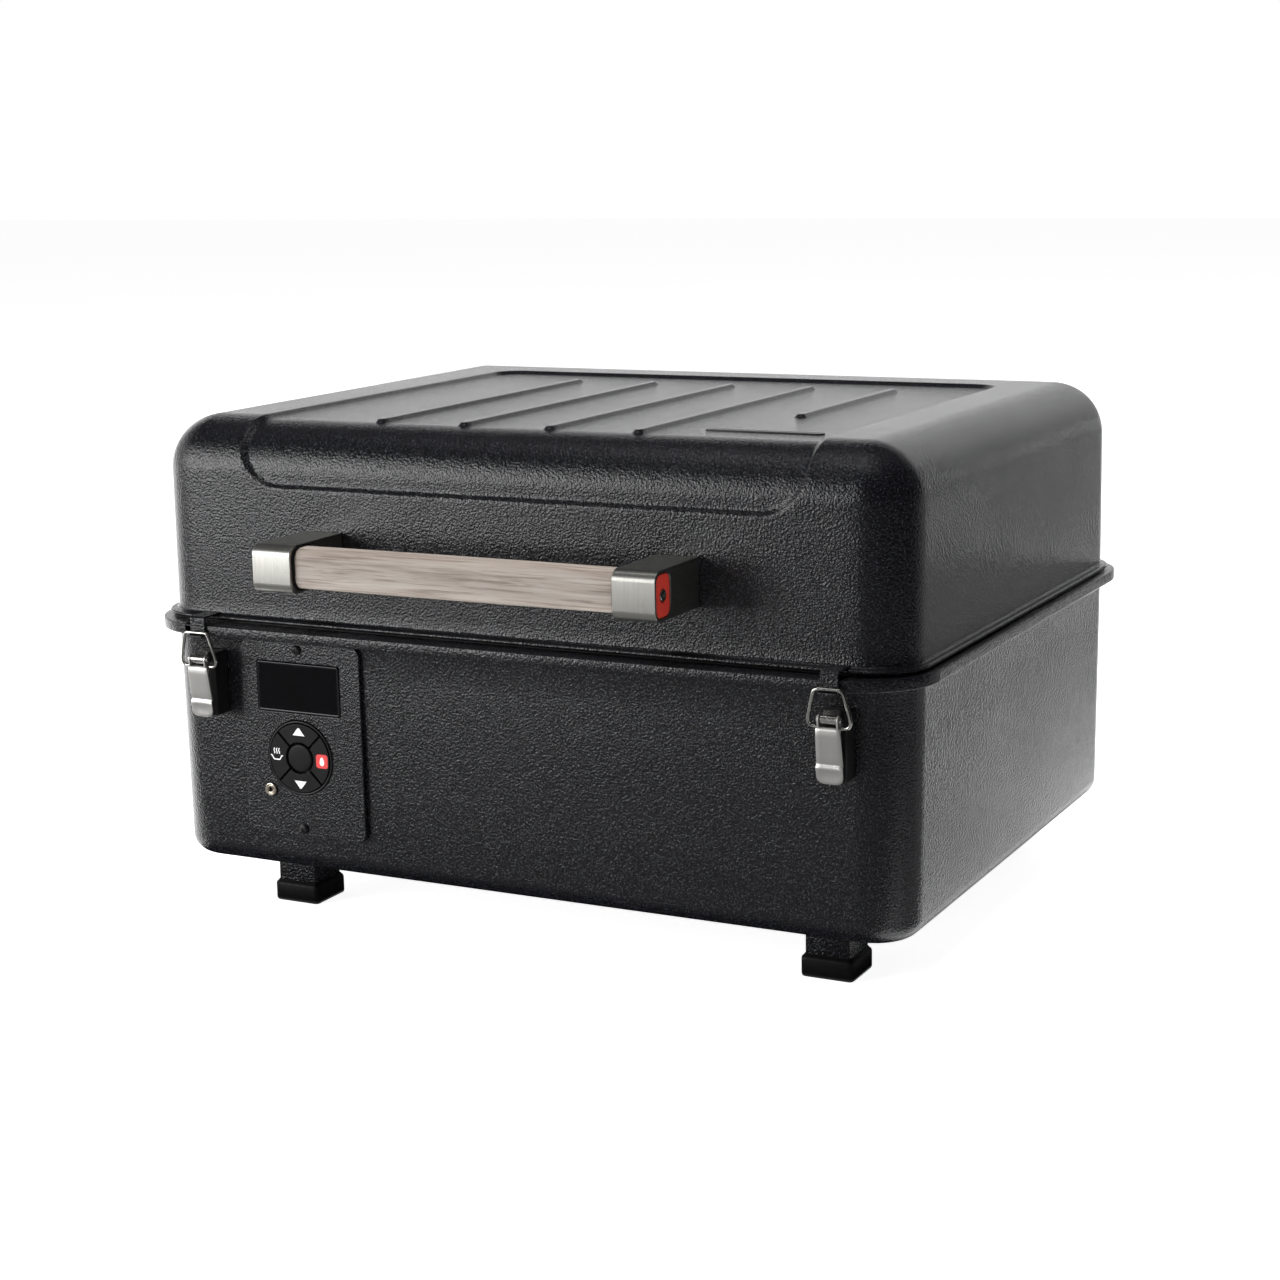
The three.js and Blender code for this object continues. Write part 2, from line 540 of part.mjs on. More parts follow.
// Bent wire: from one pivot eye, out and up one side, across the top and down the other.
function latchBail(x) {
  const { bailPivot: p, bar: top, wire } = LATCH;
  const lean = (z) => THREE.MathUtils.lerp(p.y, top.y, (z - p.z) / (top.z - p.z));
  const right = [[6.9, 0], [9.6, 0], [11.9, 0.9], [12.9, 3], [12.5, 6], [9.6, 18.6], [8.6, 21.2], [6.6, 21.9]];
  const left = right.map(([dx, dz]) => [-dx, dz]).reverse();
  const points = [...right, ...left].map(([dx, dz]) => new THREE.Vector3(x + dx, lean(p.z + dz), p.z + dz));
  const path = new THREE.CatmullRomCurve3(points, false, "centripetal");
  const section = new THREE.Shape();
  section.absarc(0, 0, wire, 0, Math.PI * 2);
  const g = new THREE.ExtrudeGeometry(section, { steps: 28, curveSegments: 3, extrudePath: path });
  return solid(g);
}

function latchKeeper(x) {
  const { half, front, ledge, z0, z1, sheet } = LATCH.keeper;
  const wide = wider([x, x], half);
  const tab = block(wide, [front, LATCH.block.y1], [z1 - sheet, z1]);
  const drop = block(wide, [front, front + sheet], [z0, z1]);
  const lip = block(wide, [ledge, front + sheet], [z0, z0 + sheet]);
  return join(tab, drop, lip);
}

for (const [side, x] of [["left", LATCH.xs[0]], ["right", LATCH.xs[1]]]) {
  piece(`latch_base_${side}`, latchBase(x), ...DARK);
  piece(`latch_lever_${side}`, latchLever(x), ...STEEL);
  piece(`latch_bail_${side}`, latchBail(x), ...STEEL);
  piece(`latch_keeper_${side}`, latchKeeper(x), ...DARK);
}

// ---------------------------------------------------------------- cooking chamber
function chamberLiner() {
  const { x0, x1, y0, y1, z0, z1, sheet, lip: out, lipR } = LINER;
  const outside = slab(LINER, z0, z1);
  const flange = { x0: x0 - out + 1, x1: x1 + out, y0: y0 - out, y1: y1 + out, r: lipR };
  const lip = slab(flange, z1 - sheet, z1);
  const inside = slab(LINER, z0 + sheet, z1 + 1, sheet);
  const { x, grateZ, grateReach, trayZ, trayReach } = RAILS;
  const rails = [
    block(x, [y0 + 1, y0 + grateReach], grateZ),
    block(x, [y1 - grateReach, y1 - 1], grateZ),
    block(x, [y0 + 1, y0 + trayReach], trayZ),
    block(x, [y1 - trayReach, y1 - 1], trayZ),
  ];
  const augerHole = bar("x", AUGER.tubeR + GAP, x0 - 9, x0 + 6, AUGER, 20);
  const airHole = block([x0 - 9, x0 + 6], [FAN.y - 24, FAN.y + 24], [68, 106]);
  const probeHole = bar("x", 3.4, x0 - 9, x0 + 6, PROBE, 12);
  return cut(join(cut(join(outside, lip), inside), ...rails), augerHole, airHole, probeHole);
}
piece("chamber_liner", chamberLiner(), ...STEEL);

function firepot() {
  const outside = bar("z", POT.r, POT.z0, POT.z1, POT, 20);
  const inside = bar("z", POT.r - POT.wall, POT.z0 + POT.wall, POT.z1 + 1, POT, 20);
  const augerHole = bar("x", AUGER.screwR + 0.7, POT.x - POT.r - 2, POT.x - 20, AUGER, 16);
  const igniterHole = bar("y", IGNITER.r + 1, -POT.r - 3, -20, IGNITER, 8);
  const airHoles = [30, 60, 120, 150].map((degrees) => {
    const a = THREE.MathUtils.degToRad(degrees);
    const g = new THREE.CylinderGeometry(3, 3, 20, 6).rotateZ(Math.PI / 2).translate(POT.r, 0, 0);
    return solid(g.rotateZ(a).translate(POT.x, POT.y, 74));
  });
  return cut(outside, inside, augerHole, igniterHole, ...airHoles);
}
piece("firepot", firepot(), ...IRON);
piece("igniter_rod", bar("y", IGNITER.r, IGNITER.y0, IGNITER.y1, IGNITER, 12), ...STEEL);

const baffle = cut(
  block([POT.x - 86, POT.x + 86], [-86, 86], [59.8, 131]),
  block([POT.x - 84.5, POT.x + 84.5], [-90, 90], [50, 129.5]),
  block([POT.x - 90, POT.x - 80], [-26, 26], [50, 112]),
);
piece("heat_baffle", baffle, ...IRON);

function dripTray() {
  const { x0, x1, y0, y1, z0, rim, sheet } = TRAY;
  const outside = block([x0, x1], [y0, y1], [z0, z0 + rim]);
  const inside = block([x0 + sheet, x1 - sheet], [y0 + sheet, y1 - sheet], [z0 + sheet, z0 + rim + 1]);
  return cut(outside, inside, bar("z", 8, z0 - 1, z0 + 4, CUP, 16));
}
piece("drip_tray", dripTray(), ...STEEL);

const cup = cut(
  bar("z", CUP.r, CUP.z0, CUP.z1, CUP, 24),
  bar("z", CUP.r - CUP.sheet, CUP.z0 + CUP.sheet, CUP.z1 + 1, CUP, 24),
);
piece("grease_cup", cup, ...STEEL);

function grillGrate() {
  const { x0, x1, y0, y1, z0, z1, slots, slotWidth } = GRATE;
  const edge = 8;
  const pitch = (x1 - x0 - 2 * edge) / slots;
  const rows = [[y0 + edge, -4], [4, y1 - edge]];
  const cuts = [];
  for (let i = 0; i < slots; i++) {
    const middle = x0 + edge + (i + 0.5) * pitch;
    const across = wider([middle, middle], slotWidth / 2);
    for (const row of rows) cuts.push(block(across, row, [z0 - 1, z1 + 1]));
  }
  return cut(slab({ ...GRATE, r: 17 }, z0, z1), ...cuts);
}
piece("grill_grate", grillGrate(), ...IRON);

const probe = bar("x", PROBE.r, PROBE.x0, PROBE.x1, PROBE, 12);
const probeNut = bar("x", 2 * PROBE.r, PROBE.x0 + 3.5, LINER.x0 - GAP, PROBE, 6);
piece("temperature_probe", join(probe, probeNut), ...STEEL);

// ---------------------------------------------------------------- pellet feed
function hopperBin() {
  const box = (h, z, grow = 0) => [
    [h.x0 - grow, h.y0 - grow, z],
    [h.x1 + grow, h.y0 - grow, z],
    [h.x1 + grow, h.y1 + grow, z],
    [h.x0 - grow, h.y1 + grow, z],
  ];
  const deck = slab({ ...DECK, r: 26 }, DECK.z0, DECK.z1);
  const skin = loft([box(OUTLET, OUTLET.z0, 1.5), box(OUTLET, OUTLET.z1, 1.5), box(HOPPER, DECK.z1, 1.5)]);
  const hollow = loft([
    box(OUTLET, OUTLET.z0 - 1),
    box(OUTLET, OUTLET.z1),
    box(HOPPER, DECK.z1 - 0.01),
    box(HOPPER, DECK.z1 + 1),
  ]);
  return cut(join(deck, skin), hollow);
}
piece("hopper_bin", hopperBin(), ...STEEL);

function hopperLid() {
  const plate = block([FLAP.x0, FLAP.x1 - 0.5], [FLAP.y0, FLAP.y1], [188.8, 190.6]);
  const barrel = bar("y", FLAP.r, FLAP.y0, FLAP.y1, { x: FLAP.x1, z: FLAP.axisZ }, 12);
  const grip = block([-226, -220], [10, 50], [190, 200]);
  return join(plate, barrel, grip);
}
piece("hopper_lid", hopperLid(), ...DARK);

const tube = cut(
  bar("x", AUGER.tubeR, AUGER.x0, AUGER.x1, AUGER, 20),
  bar("x", AUGER.boreR, AUGER.x0 - 1, AUGER.x1 + 1, AUGER, 20),
  block([-190, -156], [-12, 12], [96, 110]),
);
piece("auger_tube", tube, ...STEEL);

// A shaft with one continuous screw flight.
function augerScrew() {
  const { y, z, screwR, shaftR, pitch } = AUGER;
  const [from, to] = [AUGER.x0 + 3, 42];
  const perTurn = 8;
  const count = Math.round(((to - from - 4) / pitch) * perTurn);
  const position = [];
  const index = [];
  for (let i = 0; i <= count; i++) {
    const a = (2 * Math.PI * i) / perTurn;
    const x = from + 2 + (pitch * i) / perTurn;
    for (const [r, dx] of [[shaftR - 1, -1.2], [screwR, -0.8], [screwR, 0.8], [shaftR - 1, 1.2]]) {
      position.push(x + dx, y + r * Math.cos(a), z + r * Math.sin(a));
    }
  }
  for (let i = 0; i < count; i++) {
    for (let j = 0; j < 4; j++) {
      const a = 4 * i + j;
      const b = 4 * i + ((j + 1) % 4);
      index.push(a, b + 4, b, a, a + 4, b + 4);
    }
  }
  const last = 4 * count;
  index.push(0, 1, 2, 0, 2, 3, last, last + 2, last + 1, last, last + 3, last + 2);
  const g = new THREE.BufferGeometry();
  g.setAttribute("position", new THREE.BufferAttribute(new Float32Array(position), 3));
  g.setIndex(index);
  const flight = solid(g);
  return join(bar("x", shaftR, from - 2.5, to, AUGER, 12), flight);
}
piece("auger_screw", augerScrew(), ...STEEL);
piece("auger_motor", join(
  block([MOTOR.x0, MOTOR.x1], [-MOTOR.half, MOTOR.half], [MOTOR.z0, MOTOR.z1]),
  bar("y", MOTOR.r, MOTOR.half, MOTOR.end, MOTOR, 20),
), ...DARK);

function fanHousing() {
  const { x0, x1, y, z, half, bore } = FAN;
  const at = { y, z };
  const square = block([x0, x1], wider([y, y], half), wider([z, z], half));
  const frame = cut(square, bar("x", bore, x0 - 1, x1 + 1, at, 24));
  const strut = block([x1 - 2.4, x1], [y - half + 1, y + half - 1], [z - 3, z + 3]);
  const post = block([x1 - 2.4, x1], [y - 3, y + 3], [z - half + 1, z + half - 1]);
  return join(frame, strut, post, bar("x", 16, x1 - 2.4, x1, at, 16));
}
piece("fan_housing", fanHousing(), ...PLASTIC);

function fanImpeller() {
  const { x0, x1, y, z, hub, blade } = FAN;
  const blades = [];
  for (let i = 0; i < 5; i++) {
    const g = new THREE.BoxGeometry(1.6, blade - hub + 3, 17);
    g.rotateY(THREE.MathUtils.degToRad(35)).translate(0, (blade + hub - 3) / 2, 0);
    g.rotateX((2 * Math.PI * i) / 5).translate((x0 + x1) / 2 - 1, y, z);
    blades.push(solid(g));
  }
  return join(bar("x", hub, x0 + 3, x1 - 3.4, { y, z }, 20), ...blades);
}
piece("fan_impeller", fanImpeller(), ...PLASTIC);

// ---------------------------------------------------------------- mains inlet and switch
function powerInlet() {
  const { x0, x1, z0, z1, face, back, inner, socket, bay } = INLET;
  const plate = block([x0, x1], [back, face], [z0, z1]);
  const body = block(inner.x, [inner.front, back + 0.5], inner.z);
  const socketHole = block(socket.x, [socket.depth, face + 1], socket.z);
  const switchBay = block(bay.x, [bay.depth, face + 1], bay.z);
  const depth = [socket.depth - 1, face - 7];
  const pins = INLET.pins.map(([x, z]) => block(wider([x, x], 0.8), depth, wider([z, z], 2)));
  return join(cut(join(plate, body), socketHole, switchBay), ...pins);
}
piece("power_inlet", powerInlet(), ...PLASTIC);

const ROCKER = { x: -166.2, y: 198.4, z: 91, tilt: 8 };
const rockerForm = new THREE.BoxGeometry(18.4, 6.4, 13.2).translate(0, 2.6, 0);
rockerForm.rotateZ(THREE.MathUtils.degToRad(-ROCKER.tilt)).translate(ROCKER.x, ROCKER.y, ROCKER.z);
piece("power_switch", solid(rockerForm), ...PLASTIC);

// ---------------------------------------------------------------- origin
const frontmost = HANDLE.y0;
const rearmost = HINGE.y + HINGE.r;
grill.position.set(0, -(frontmost + rearmost) / 2, -FOOT.z0);

export default grill;
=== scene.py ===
"""Looks of the table-top pellet smoker grill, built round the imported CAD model."""

import math

import bmesh
import bpy
from mathutils import Matrix, Vector


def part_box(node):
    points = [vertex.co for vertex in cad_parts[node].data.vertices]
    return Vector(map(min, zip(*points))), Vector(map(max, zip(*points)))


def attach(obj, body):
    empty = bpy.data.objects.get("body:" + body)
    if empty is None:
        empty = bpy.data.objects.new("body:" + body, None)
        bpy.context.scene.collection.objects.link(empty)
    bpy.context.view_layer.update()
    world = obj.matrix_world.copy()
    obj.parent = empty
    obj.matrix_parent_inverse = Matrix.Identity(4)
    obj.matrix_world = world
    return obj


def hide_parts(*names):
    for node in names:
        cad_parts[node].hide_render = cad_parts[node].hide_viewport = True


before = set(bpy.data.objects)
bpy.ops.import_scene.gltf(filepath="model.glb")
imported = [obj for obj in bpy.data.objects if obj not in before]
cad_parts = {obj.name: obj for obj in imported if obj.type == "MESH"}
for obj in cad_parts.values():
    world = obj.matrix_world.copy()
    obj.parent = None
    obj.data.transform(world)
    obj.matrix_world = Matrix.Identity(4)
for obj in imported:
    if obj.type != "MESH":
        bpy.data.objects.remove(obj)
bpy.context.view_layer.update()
scene = bpy.context.scene

# -------- places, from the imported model
# Work is in millimetres in the CAD's layout: y = 0 in the middle of the rim flange and the rim's top at
# z = RIM_TOP.
MM = 0.001
RIM_TOP = 197.7
_lo, _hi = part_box("lower_shell")
SHIFT = (_lo.y + _hi.y) / 2 / MM
LIFT = _hi.z / MM - RIM_TOP


class Box:
    """A CAD node's extent in millimetres in the layout frame."""

    def __init__(self, node):
        lo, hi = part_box(node)
        self.x0, self.y0, self.z0 = lo.x / MM, lo.y / MM - SHIFT, lo.z / MM - LIFT
        self.x1, self.y1, self.z1 = hi.x / MM, hi.y / MM - SHIFT, hi.z / MM - LIFT
        self.x = (self.x0 + self.x1) / 2
        self.y = (self.y0 + self.y1) / 2
        self.z = (self.z0 + self.z1) / 2


RIM = Box("lower_shell")
LID = Box("lid_shell")
SHEET = 2.5  # wall thickness of both shells
# Outside of both shells at the seam; the rim flange stands out past it.
WALL = dict(x0=RIM.x0 + 8.5, x1=RIM.x1 - 8.5, y0=RIM.y0 + 17.5, y1=RIM.y1 - 20.3, r=31.0)


# -------- node helpers
def new_material(name):
    m = bpy.data.materials.new(name)
    m.use_nodes = True
    nodes = m.node_tree.nodes
    return m, nodes, m.node_tree.links, nodes["Principled BSDF"]


def coords(nodes, links, scale=(1, 1, 1)):
    tc = nodes.new("ShaderNodeTexCoord")
    mp = nodes.new("ShaderNodeMapping")
    mp.inputs["Scale"].default_value = scale
    links.new(tc.outputs["Object"], mp.inputs["Vector"])
    return mp.outputs["Vector"]


def noise(nodes, links, vector, scale, detail=3.0, rough=0.55, distortion=0.0):
    n = nodes.new("ShaderNodeTexNoise")
    n.inputs["Scale"].default_value = scale
    n.inputs["Detail"].default_value = detail
    n.inputs["Roughness"].default_value = rough
    n.inputs["Distortion"].default_value = distortion
    links.new(vector, n.inputs["Vector"])
    return n.outputs["Fac"]


def ramp(nodes, links, factor, stops):
    r = nodes.new("ShaderNodeValToRGB")
    e = r.color_ramp.elements
    while len(e) < len(stops):
        e.new(0.5)
    for element, (at, colour) in zip(e, stops):
        element.position = at
        c = (colour,) * 3 if isinstance(colour, (int, float)) else colour
        element.color = (*c, 1)
    links.new(factor, r.inputs["Fac"])
    return r.outputs["Color"]


def bump(nodes, links, height, strength, distance, normal=None):
    b = nodes.new("ShaderNodeBump")
    b.inputs["Strength"].default_value = strength
    b.inputs["Distance"].default_value = distance
    links.new(height, b.inputs["Height"])
    if normal is not None:
        links.new(normal, b.inputs["Normal"])
    return b.outputs["Normal"]


# -------- materials
def powder_coat(name, dark, light, grain, rough, strength):
    """Orange-peel powder coat: dark, with small glinting grains; grain is in features per metre."""
    m, nodes, links, bsdf = new_material(name)
    v = coords(nodes, links)
    peel = noise(nodes, links, v, grain, 2.0, 0.55)
    speck = noise(nodes, links, v, grain * 1.5, 1.0, 0.5)
    cloud = noise(nodes, links, v, 9.0, 2.0)
    stops = [(0.50, dark), (0.62, light), (0.74, tuple(c * 2.2 for c in light))]
    links.new(ramp(nodes, links, speck, stops), bsdf.inputs["Base Color"])
    r = ramp(nodes, links, cloud, [(0.3, rough - 0.02), (0.7, rough + 0.02)])
    links.new(r, bsdf.inputs["Roughness"])
    links.new(bump(nodes, links, peel, strength, 0.0010), bsdf.inputs["Normal"])
    bsdf.inputs["Specular IOR Level"].default_value = 0.5
    return m


def plain_surface(
    name, dark, light, rough_lo, rough_hi, scale=260, strength=0.15, metallic=0.0, distance=0.0002,
    gloss=0.5
):
    m, nodes, links, bsdf = new_material(name)
    v = coords(nodes, links)
    f = noise(nodes, links, v, scale, 3.0)
    wide = noise(nodes, links, v, scale / 9, 2.0)
    links.new(ramp(nodes, links, wide, [(0.3, dark), (0.7, light)]), bsdf.inputs["Base Color"])
    links.new(ramp(nodes, links, f, [(0.3, rough_lo), (0.7, rough_hi)]), bsdf.inputs["Roughness"])
    links.new(bump(nodes, links, f, strength, distance), bsdf.inputs["Normal"])
    bsdf.inputs["Metallic"].default_value = metallic
    bsdf.inputs["Specular IOR Level"].default_value = gloss
    return m


def brushed(name, tint, spread, rough, across, along, metallic=1.0):
    """Metal with fine straight brush marks: across and along are mapping scales."""
    m, nodes, links, bsdf = new_material(name)
    lines = noise(nodes, links, coords(nodes, links, across), 1.0, 3.0, 0.6)
    side = noise(nodes, links, coords(nodes, links, along), 1.0, 3.0, 0.6)
    geo = nodes.new("ShaderNodeNewGeometry")
    sep = nodes.new("ShaderNodeSeparateXYZ")
    links.new(geo.outputs["Normal"], sep.inputs[0])
    size = nodes.new("ShaderNodeMath")
    size.operation = "ABSOLUTE"
    links.new(sep.outputs["X"], size.inputs[0])
    step = nodes.new("ShaderNodeMath")
    step.operation = "GREATER_THAN"
    step.inputs[1].default_value = 0.7
    links.new(size.outputs[0], step.inputs[0])
    mix = nodes.new("ShaderNodeMix")
    links.new(step.outputs[0], mix.inputs["Factor"])
    links.new(lines, mix.inputs["A"])
    links.new(side, mix.inputs["B"])
    marks = mix.outputs["Result"]
    low = tuple(c * (1 - spread) for c in tint)
    high = tuple(min(1.0, c * (1 + spread)) for c in tint)
    links.new(ramp(nodes, links, marks, [(0.3, low), (0.7, high)]), bsdf.inputs["Base Color"])
    links.new(
        ramp(nodes, links, marks, [(0.3, rough + 0.09), (0.7, rough - 0.07)]), bsdf.inputs["Roughness"]
    )
    links.new(bump(nodes, links, marks, 0.25, 0.00012), bsdf.inputs["Normal"])
    bsdf.inputs["Metallic"].default_value = metallic
    return m


def oiled_wood(name):
    """Pale greyed wood with fine grain along X."""
    m, nodes, links, bsdf = new_material(name)
    fibre = noise(nodes, links, coords(nodes, links, (22, 620, 620)), 1.0, 4.0, 0.68, 0.5)
    band = noise(nodes, links, coords(nodes, links, (5, 120, 120)), 1.0, 3.0, 0.6, 1.2)
    pore = noise(nodes, links, coords(nodes, links, (60, 2400, 2400)), 1.0, 2.0, 0.5)
    base = ramp(
        nodes, links, band,
        [(0.22, (0.165, 0.137, 0.111)), (0.45, (0.255, 0.22, 0.193)), (0.68, (0.34, 0.305, 0.275))]
    )
    streak = ramp(
        nodes, links, fibre,
        [(0.34, (0.48, 0.40, 0.34)), (0.50, (0.92, 0.90, 0.88)), (0.62, (1.0, 1.0, 1.0))]
    )
    mix = nodes.new("ShaderNodeMix")
    mix.data_type = "RGBA"
    mix.blend_type = "MULTIPLY"
    mix.inputs["Factor"].default_value = 0.85
    links.new(base, mix.inputs["A"])
    links.new(streak, mix.inputs["B"])
    links.new(mix.outputs["Result"], bsdf.inputs["Base Color"])
    links.new(ramp(nodes, links, fibre, [(0.3, 0.62), (0.7, 0.46)]), bsdf.inputs["Roughness"])
    n = bump(nodes, links, pore, 0.12, 0.0002)
    links.new(bump(nodes, links, fibre, 0.3, 0.0003, n), bsdf.inputs["Normal"])
    return m


def glossy_black(name, colour, rough, coat):
    m, nodes, links, bsdf = new_material(name)
    v = coords(nodes, links)
    smudge = noise(nodes, links, v, 45, 3.0)
    links.new(
        ramp(nodes, links, smudge, [(0.35, colour), (0.75, tuple(c * 1.5 for c in colour))]),
        bsdf.inputs["Base Color"]
    )
    links.new(ramp(nodes, links, smudge, [(0.3, rough), (0.8, rough + 0.05)]), bsdf.inputs["Roughness"])
    bsdf.inputs["Coat Weight"].default_value = coat
    bsdf.inputs["Specular IOR Level"].default_value = 0.2
    bsdf.inputs["Coat Roughness"].default_value = 0.04
    return m


COAT = powder_coat("powder_coat_black", (0.003, 0.003, 0.0035), (0.010, 0.0105, 0.013), 700, 0.15, 0.55)
PAINT = plain_surface("satin_black_paint", (0.003, 0.003, 0.0035), (0.006, 0.006, 0.0065), 0.32, 0.45)
SHINE = plain_surface(
    "bright_nickel_plate", (0.50, 0.49, 0.47), (0.64, 0.63, 0.60), 0.16, 0.27, 420, 0.08, 1.0, 0.0001
)
NICKEL = brushed("brushed_nickel", (0.47, 0.465, 0.435), 0.14, 0.33, (2600, 40, 40), (40, 40, 2600))
LEVER = brushed("rolled_steel_plate", (0.68, 0.67, 0.645), 0.06, 0.42, (1500, 60, 60), (60, 60, 1500))
LINING = brushed("stainless_lining", (0.52, 0.52, 0.51), 0.08, 0.40, (60, 60, 1400), (60, 60, 1400), 0.4)
WOOD = oiled_wood("pale_grey_wood")
RUBBER = plain_surface(
    "black_rubber", (0.002, 0.002, 0.002), (0.004, 0.004, 0.004), 0.42, 0.58, 500, 0.15, gloss=0.15
)
MOULDED = plain_surface(
    "moulded_black_plastic", (0.003, 0.003, 0.0035), (0.006, 0.006, 0.0065), 0.34, 0.46, 700, 0.12
)
KEYS = plain_surface(
    "soft_touch_black_keys", (0.003, 0.003, 0.0035), (0.005, 0.005, 0.0055), 0.42, 0.52, 900, 0.1,
    gloss=0.25
)
GLASS = glossy_black("black_display_glass", (0.0012, 0.0012, 0.0016), 0.05, 0.0)
BEZEL = glossy_black("gloss_black_bezel", (0.004, 0.004, 0.005), 0.14, 0.4)
RED = plain_surface("red_plastic", (0.33, 0.022, 0.014), (0.42, 0.032, 0.02), 0.34, 0.48, 400, 0.15)
RED_PRINT = plain_surface("red_key_print", (0.58, 0.02, 0.022), (0.66, 0.03, 0.03), 0.4, 0.5, 600, 0.08)
WHITE_PRINT = plain_surface("white_key_print", (0.72, 0.72, 0.72), (0.82, 0.82, 0.82), 0.4, 0.5, 600, 0.08)
IRON = plain_surface(
    "enamelled_cast_iron", (0.024, 0.023, 0.022), (0.045, 0.043, 0.041), 0.3, 0.52, 380, 0.45, 0.0, 0.0005
)
SOOT = plain_surface(
    "heat_darkened_steel", (0.10, 0.095, 0.09), (0.19, 0.18, 0.165), 0.42, 0.62, 200, 0.3, 0.5
)
# The black paint of the parts inside the grill, about ten times lighter than the outer black paint: painted
# fill light for the dim inside.
INSIDE_PAINT_LIT = plain_surface(
    "black_paint_lightened_as_painted_fill_light", (0.030, 0.030, 0.031), (0.042, 0.042, 0.043), 0.34, 0.48, 320, 0.15
)
JACK_RING = plain_surface(
    "satin_nickel_ring", (0.62, 0.56, 0.47), (0.72, 0.66, 0.57), 0.2, 0.32, 500, 0.06, 1.0
)


# -------- mesh helpers
def place(p):
    return Vector((p[0], p[1] + SHIFT, p[2] + LIFT)) * MM


def build(name, parts, weld=0.0):
    """An object from one or more (vertices, faces) pairs in layout millimetres."""
    verts, faces = [], []
    for v, f in parts:
        base = len(verts)
        verts.extend(place(p) for p in v)
        faces.extend(tuple(i + base for i in face) for face in f)
    me = bpy.data.meshes.new(name)
    me.from_pydata(verts, [], faces)
    bm = bmesh.new()
    bm.from_mesh(me)
    if weld:
        bmesh.ops.remove_doubles(bm, verts=bm.verts, dist=weld * MM)
    bmesh.ops.dissolve_degenerate(bm, edges=bm.edges, dist=1e-7)
    bmesh.ops.recalc_face_normals(bm, faces=bm.faces)
    bm.to_mesh(me)
    bm.free()
    ob = bpy.data.objects.new(name, me)
    scene.collection.objects.link(ob)
    return ob


def carve(ob, *cutters):
    for c in cutters:
        mod = ob.modifiers.new("cut", "BOOLEAN")
        mod.operation = "DIFFERENCE"
        mod.solver = "EXACT"
        mod.object = c
    bpy.context.view_layer.update()
    made = bpy.data.meshes.new_from_object(ob.evaluated_get(bpy.context.evaluated_depsgraph_get()))
    ob.modifiers.clear()
    ob.data = made
    for c in cutters:
        bpy.data.objects.remove(c)
    return ob


def dress(ob, mat, body, nodes=(), bevel=0.0, segments=2, angle=32):
    """Gives a new piece its finish, its softened edges and its body, and hides the CAD nodes that it stands
    for.
    """
    me = ob.data
    me.materials.clear()
    me.materials.append(mat)
    me.shade_smooth()
    if bevel:
        b = ob.modifiers.new("edge", "BEVEL")
        b.width = bevel * MM
        b.segments = segments
        b.limit_method = "ANGLE"
        b.angle_limit = math.radians(angle)
        b.harden_normals = True
        b.use_clamp_overlap = True
    else:
        me.set_sharp_from_angle(angle=math.radians(angle))
    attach(ob, body)
    if nodes:
        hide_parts(*nodes)
    return ob


def prism(outline, axis, a, b):
    """A closed outline extruded along an axis: (y, z) for x, (x, z) for y and (x, y) for z."""
    put = {
        "x": lambda p, t: (t, p[0], p[1]),
        "y": lambda p, t: (p[0], t, p[1]),
        "z": lambda p, t: (p[0], p[1], t),
    }[axis]
    n = len(outline)
    verts = [put(p, a) for p in outline] + [put(p, b) for p in outline]
    faces = [tuple(range(n)), tuple(range(2 * n - 1, n - 1, -1))]
    faces += [(i, (i + 1) % n, n + (i + 1) % n, n + i) for i in range(n)]
    return verts, faces


def rounded(a0, a1, b0, b1, r, n=8):
    """Rounded rectangle outline; r is one radius, or four from the low-low corner anticlockwise."""
    radii = r if isinstance(r, (tuple, list)) else (r,) * 4
    centres = [(a0, b0, 1, 1, 180), (a1, b0, -1, 1, 270), (a1, b1, -1, -1, 0), (a0, b1, 1, -1, 90)]
    points = []
    for (ca, cb, sa, sb, start), radius in zip(centres, radii):
        if radius <= 0:
            points.append((ca, cb))
            continue
        a, b = ca + sa * radius, cb + sb * radius
        for i in range(n + 1):
            t = math.radians(start + 90 * i / n)
            points.append((a + radius * math.cos(t), b + radius * math.sin(t)))
    return points


def circle(ca, cb, r, n=48):
    return [
        (ca + r * math.cos(2 * math.pi * i / n), cb + r * math.sin(2 * math.pi * i / n)) for i in range(n)
    ]


def turned(profile, axis, centre, n=48):
    """A profile of (radius, station) turned round an axis; radius 0 closes an end."""
    ca, cb = centre
    put = {
        "x": lambda u, w, t: (t, ca + u, cb + w),
        "y": lambda u, w, t: (ca + u, t, cb + w),
        "z": lambda u, w, t: (ca + u, cb + w, t),
    }[axis]
    verts, rings, faces = [], [], []
    for r, t in profile:
        if r <= 1e-6:
            rings.append([len(verts)])
            verts.append(put(0, 0, t))
        else:
            rings.append(list(range(len(verts), len(verts) + n)))
            verts.extend(
                put(r * math.cos(2 * math.pi * i / n), r * math.sin(2 * math.pi * i / n), t)
                for i in range(n)
            )
    hollow = profile[0][0] > 1e-6 and profile[-1][0] > 1e-6
    for p, q in zip(rings, rings[1:] + ([rings[0]] if hollow else [])):
        for i in range(n):
            j = (i + 1) % n
            if len(p) == 1 and len(q) == 1:
                continue
            if len(p) == 1:
                faces.append((p[0], q[i], q[j]))
            elif len(q) == 1:
                faces.append((p[i], p[j], q[0]))
            else:
                faces.append((p[i], p[j], q[j], q[i]))
    return verts, faces


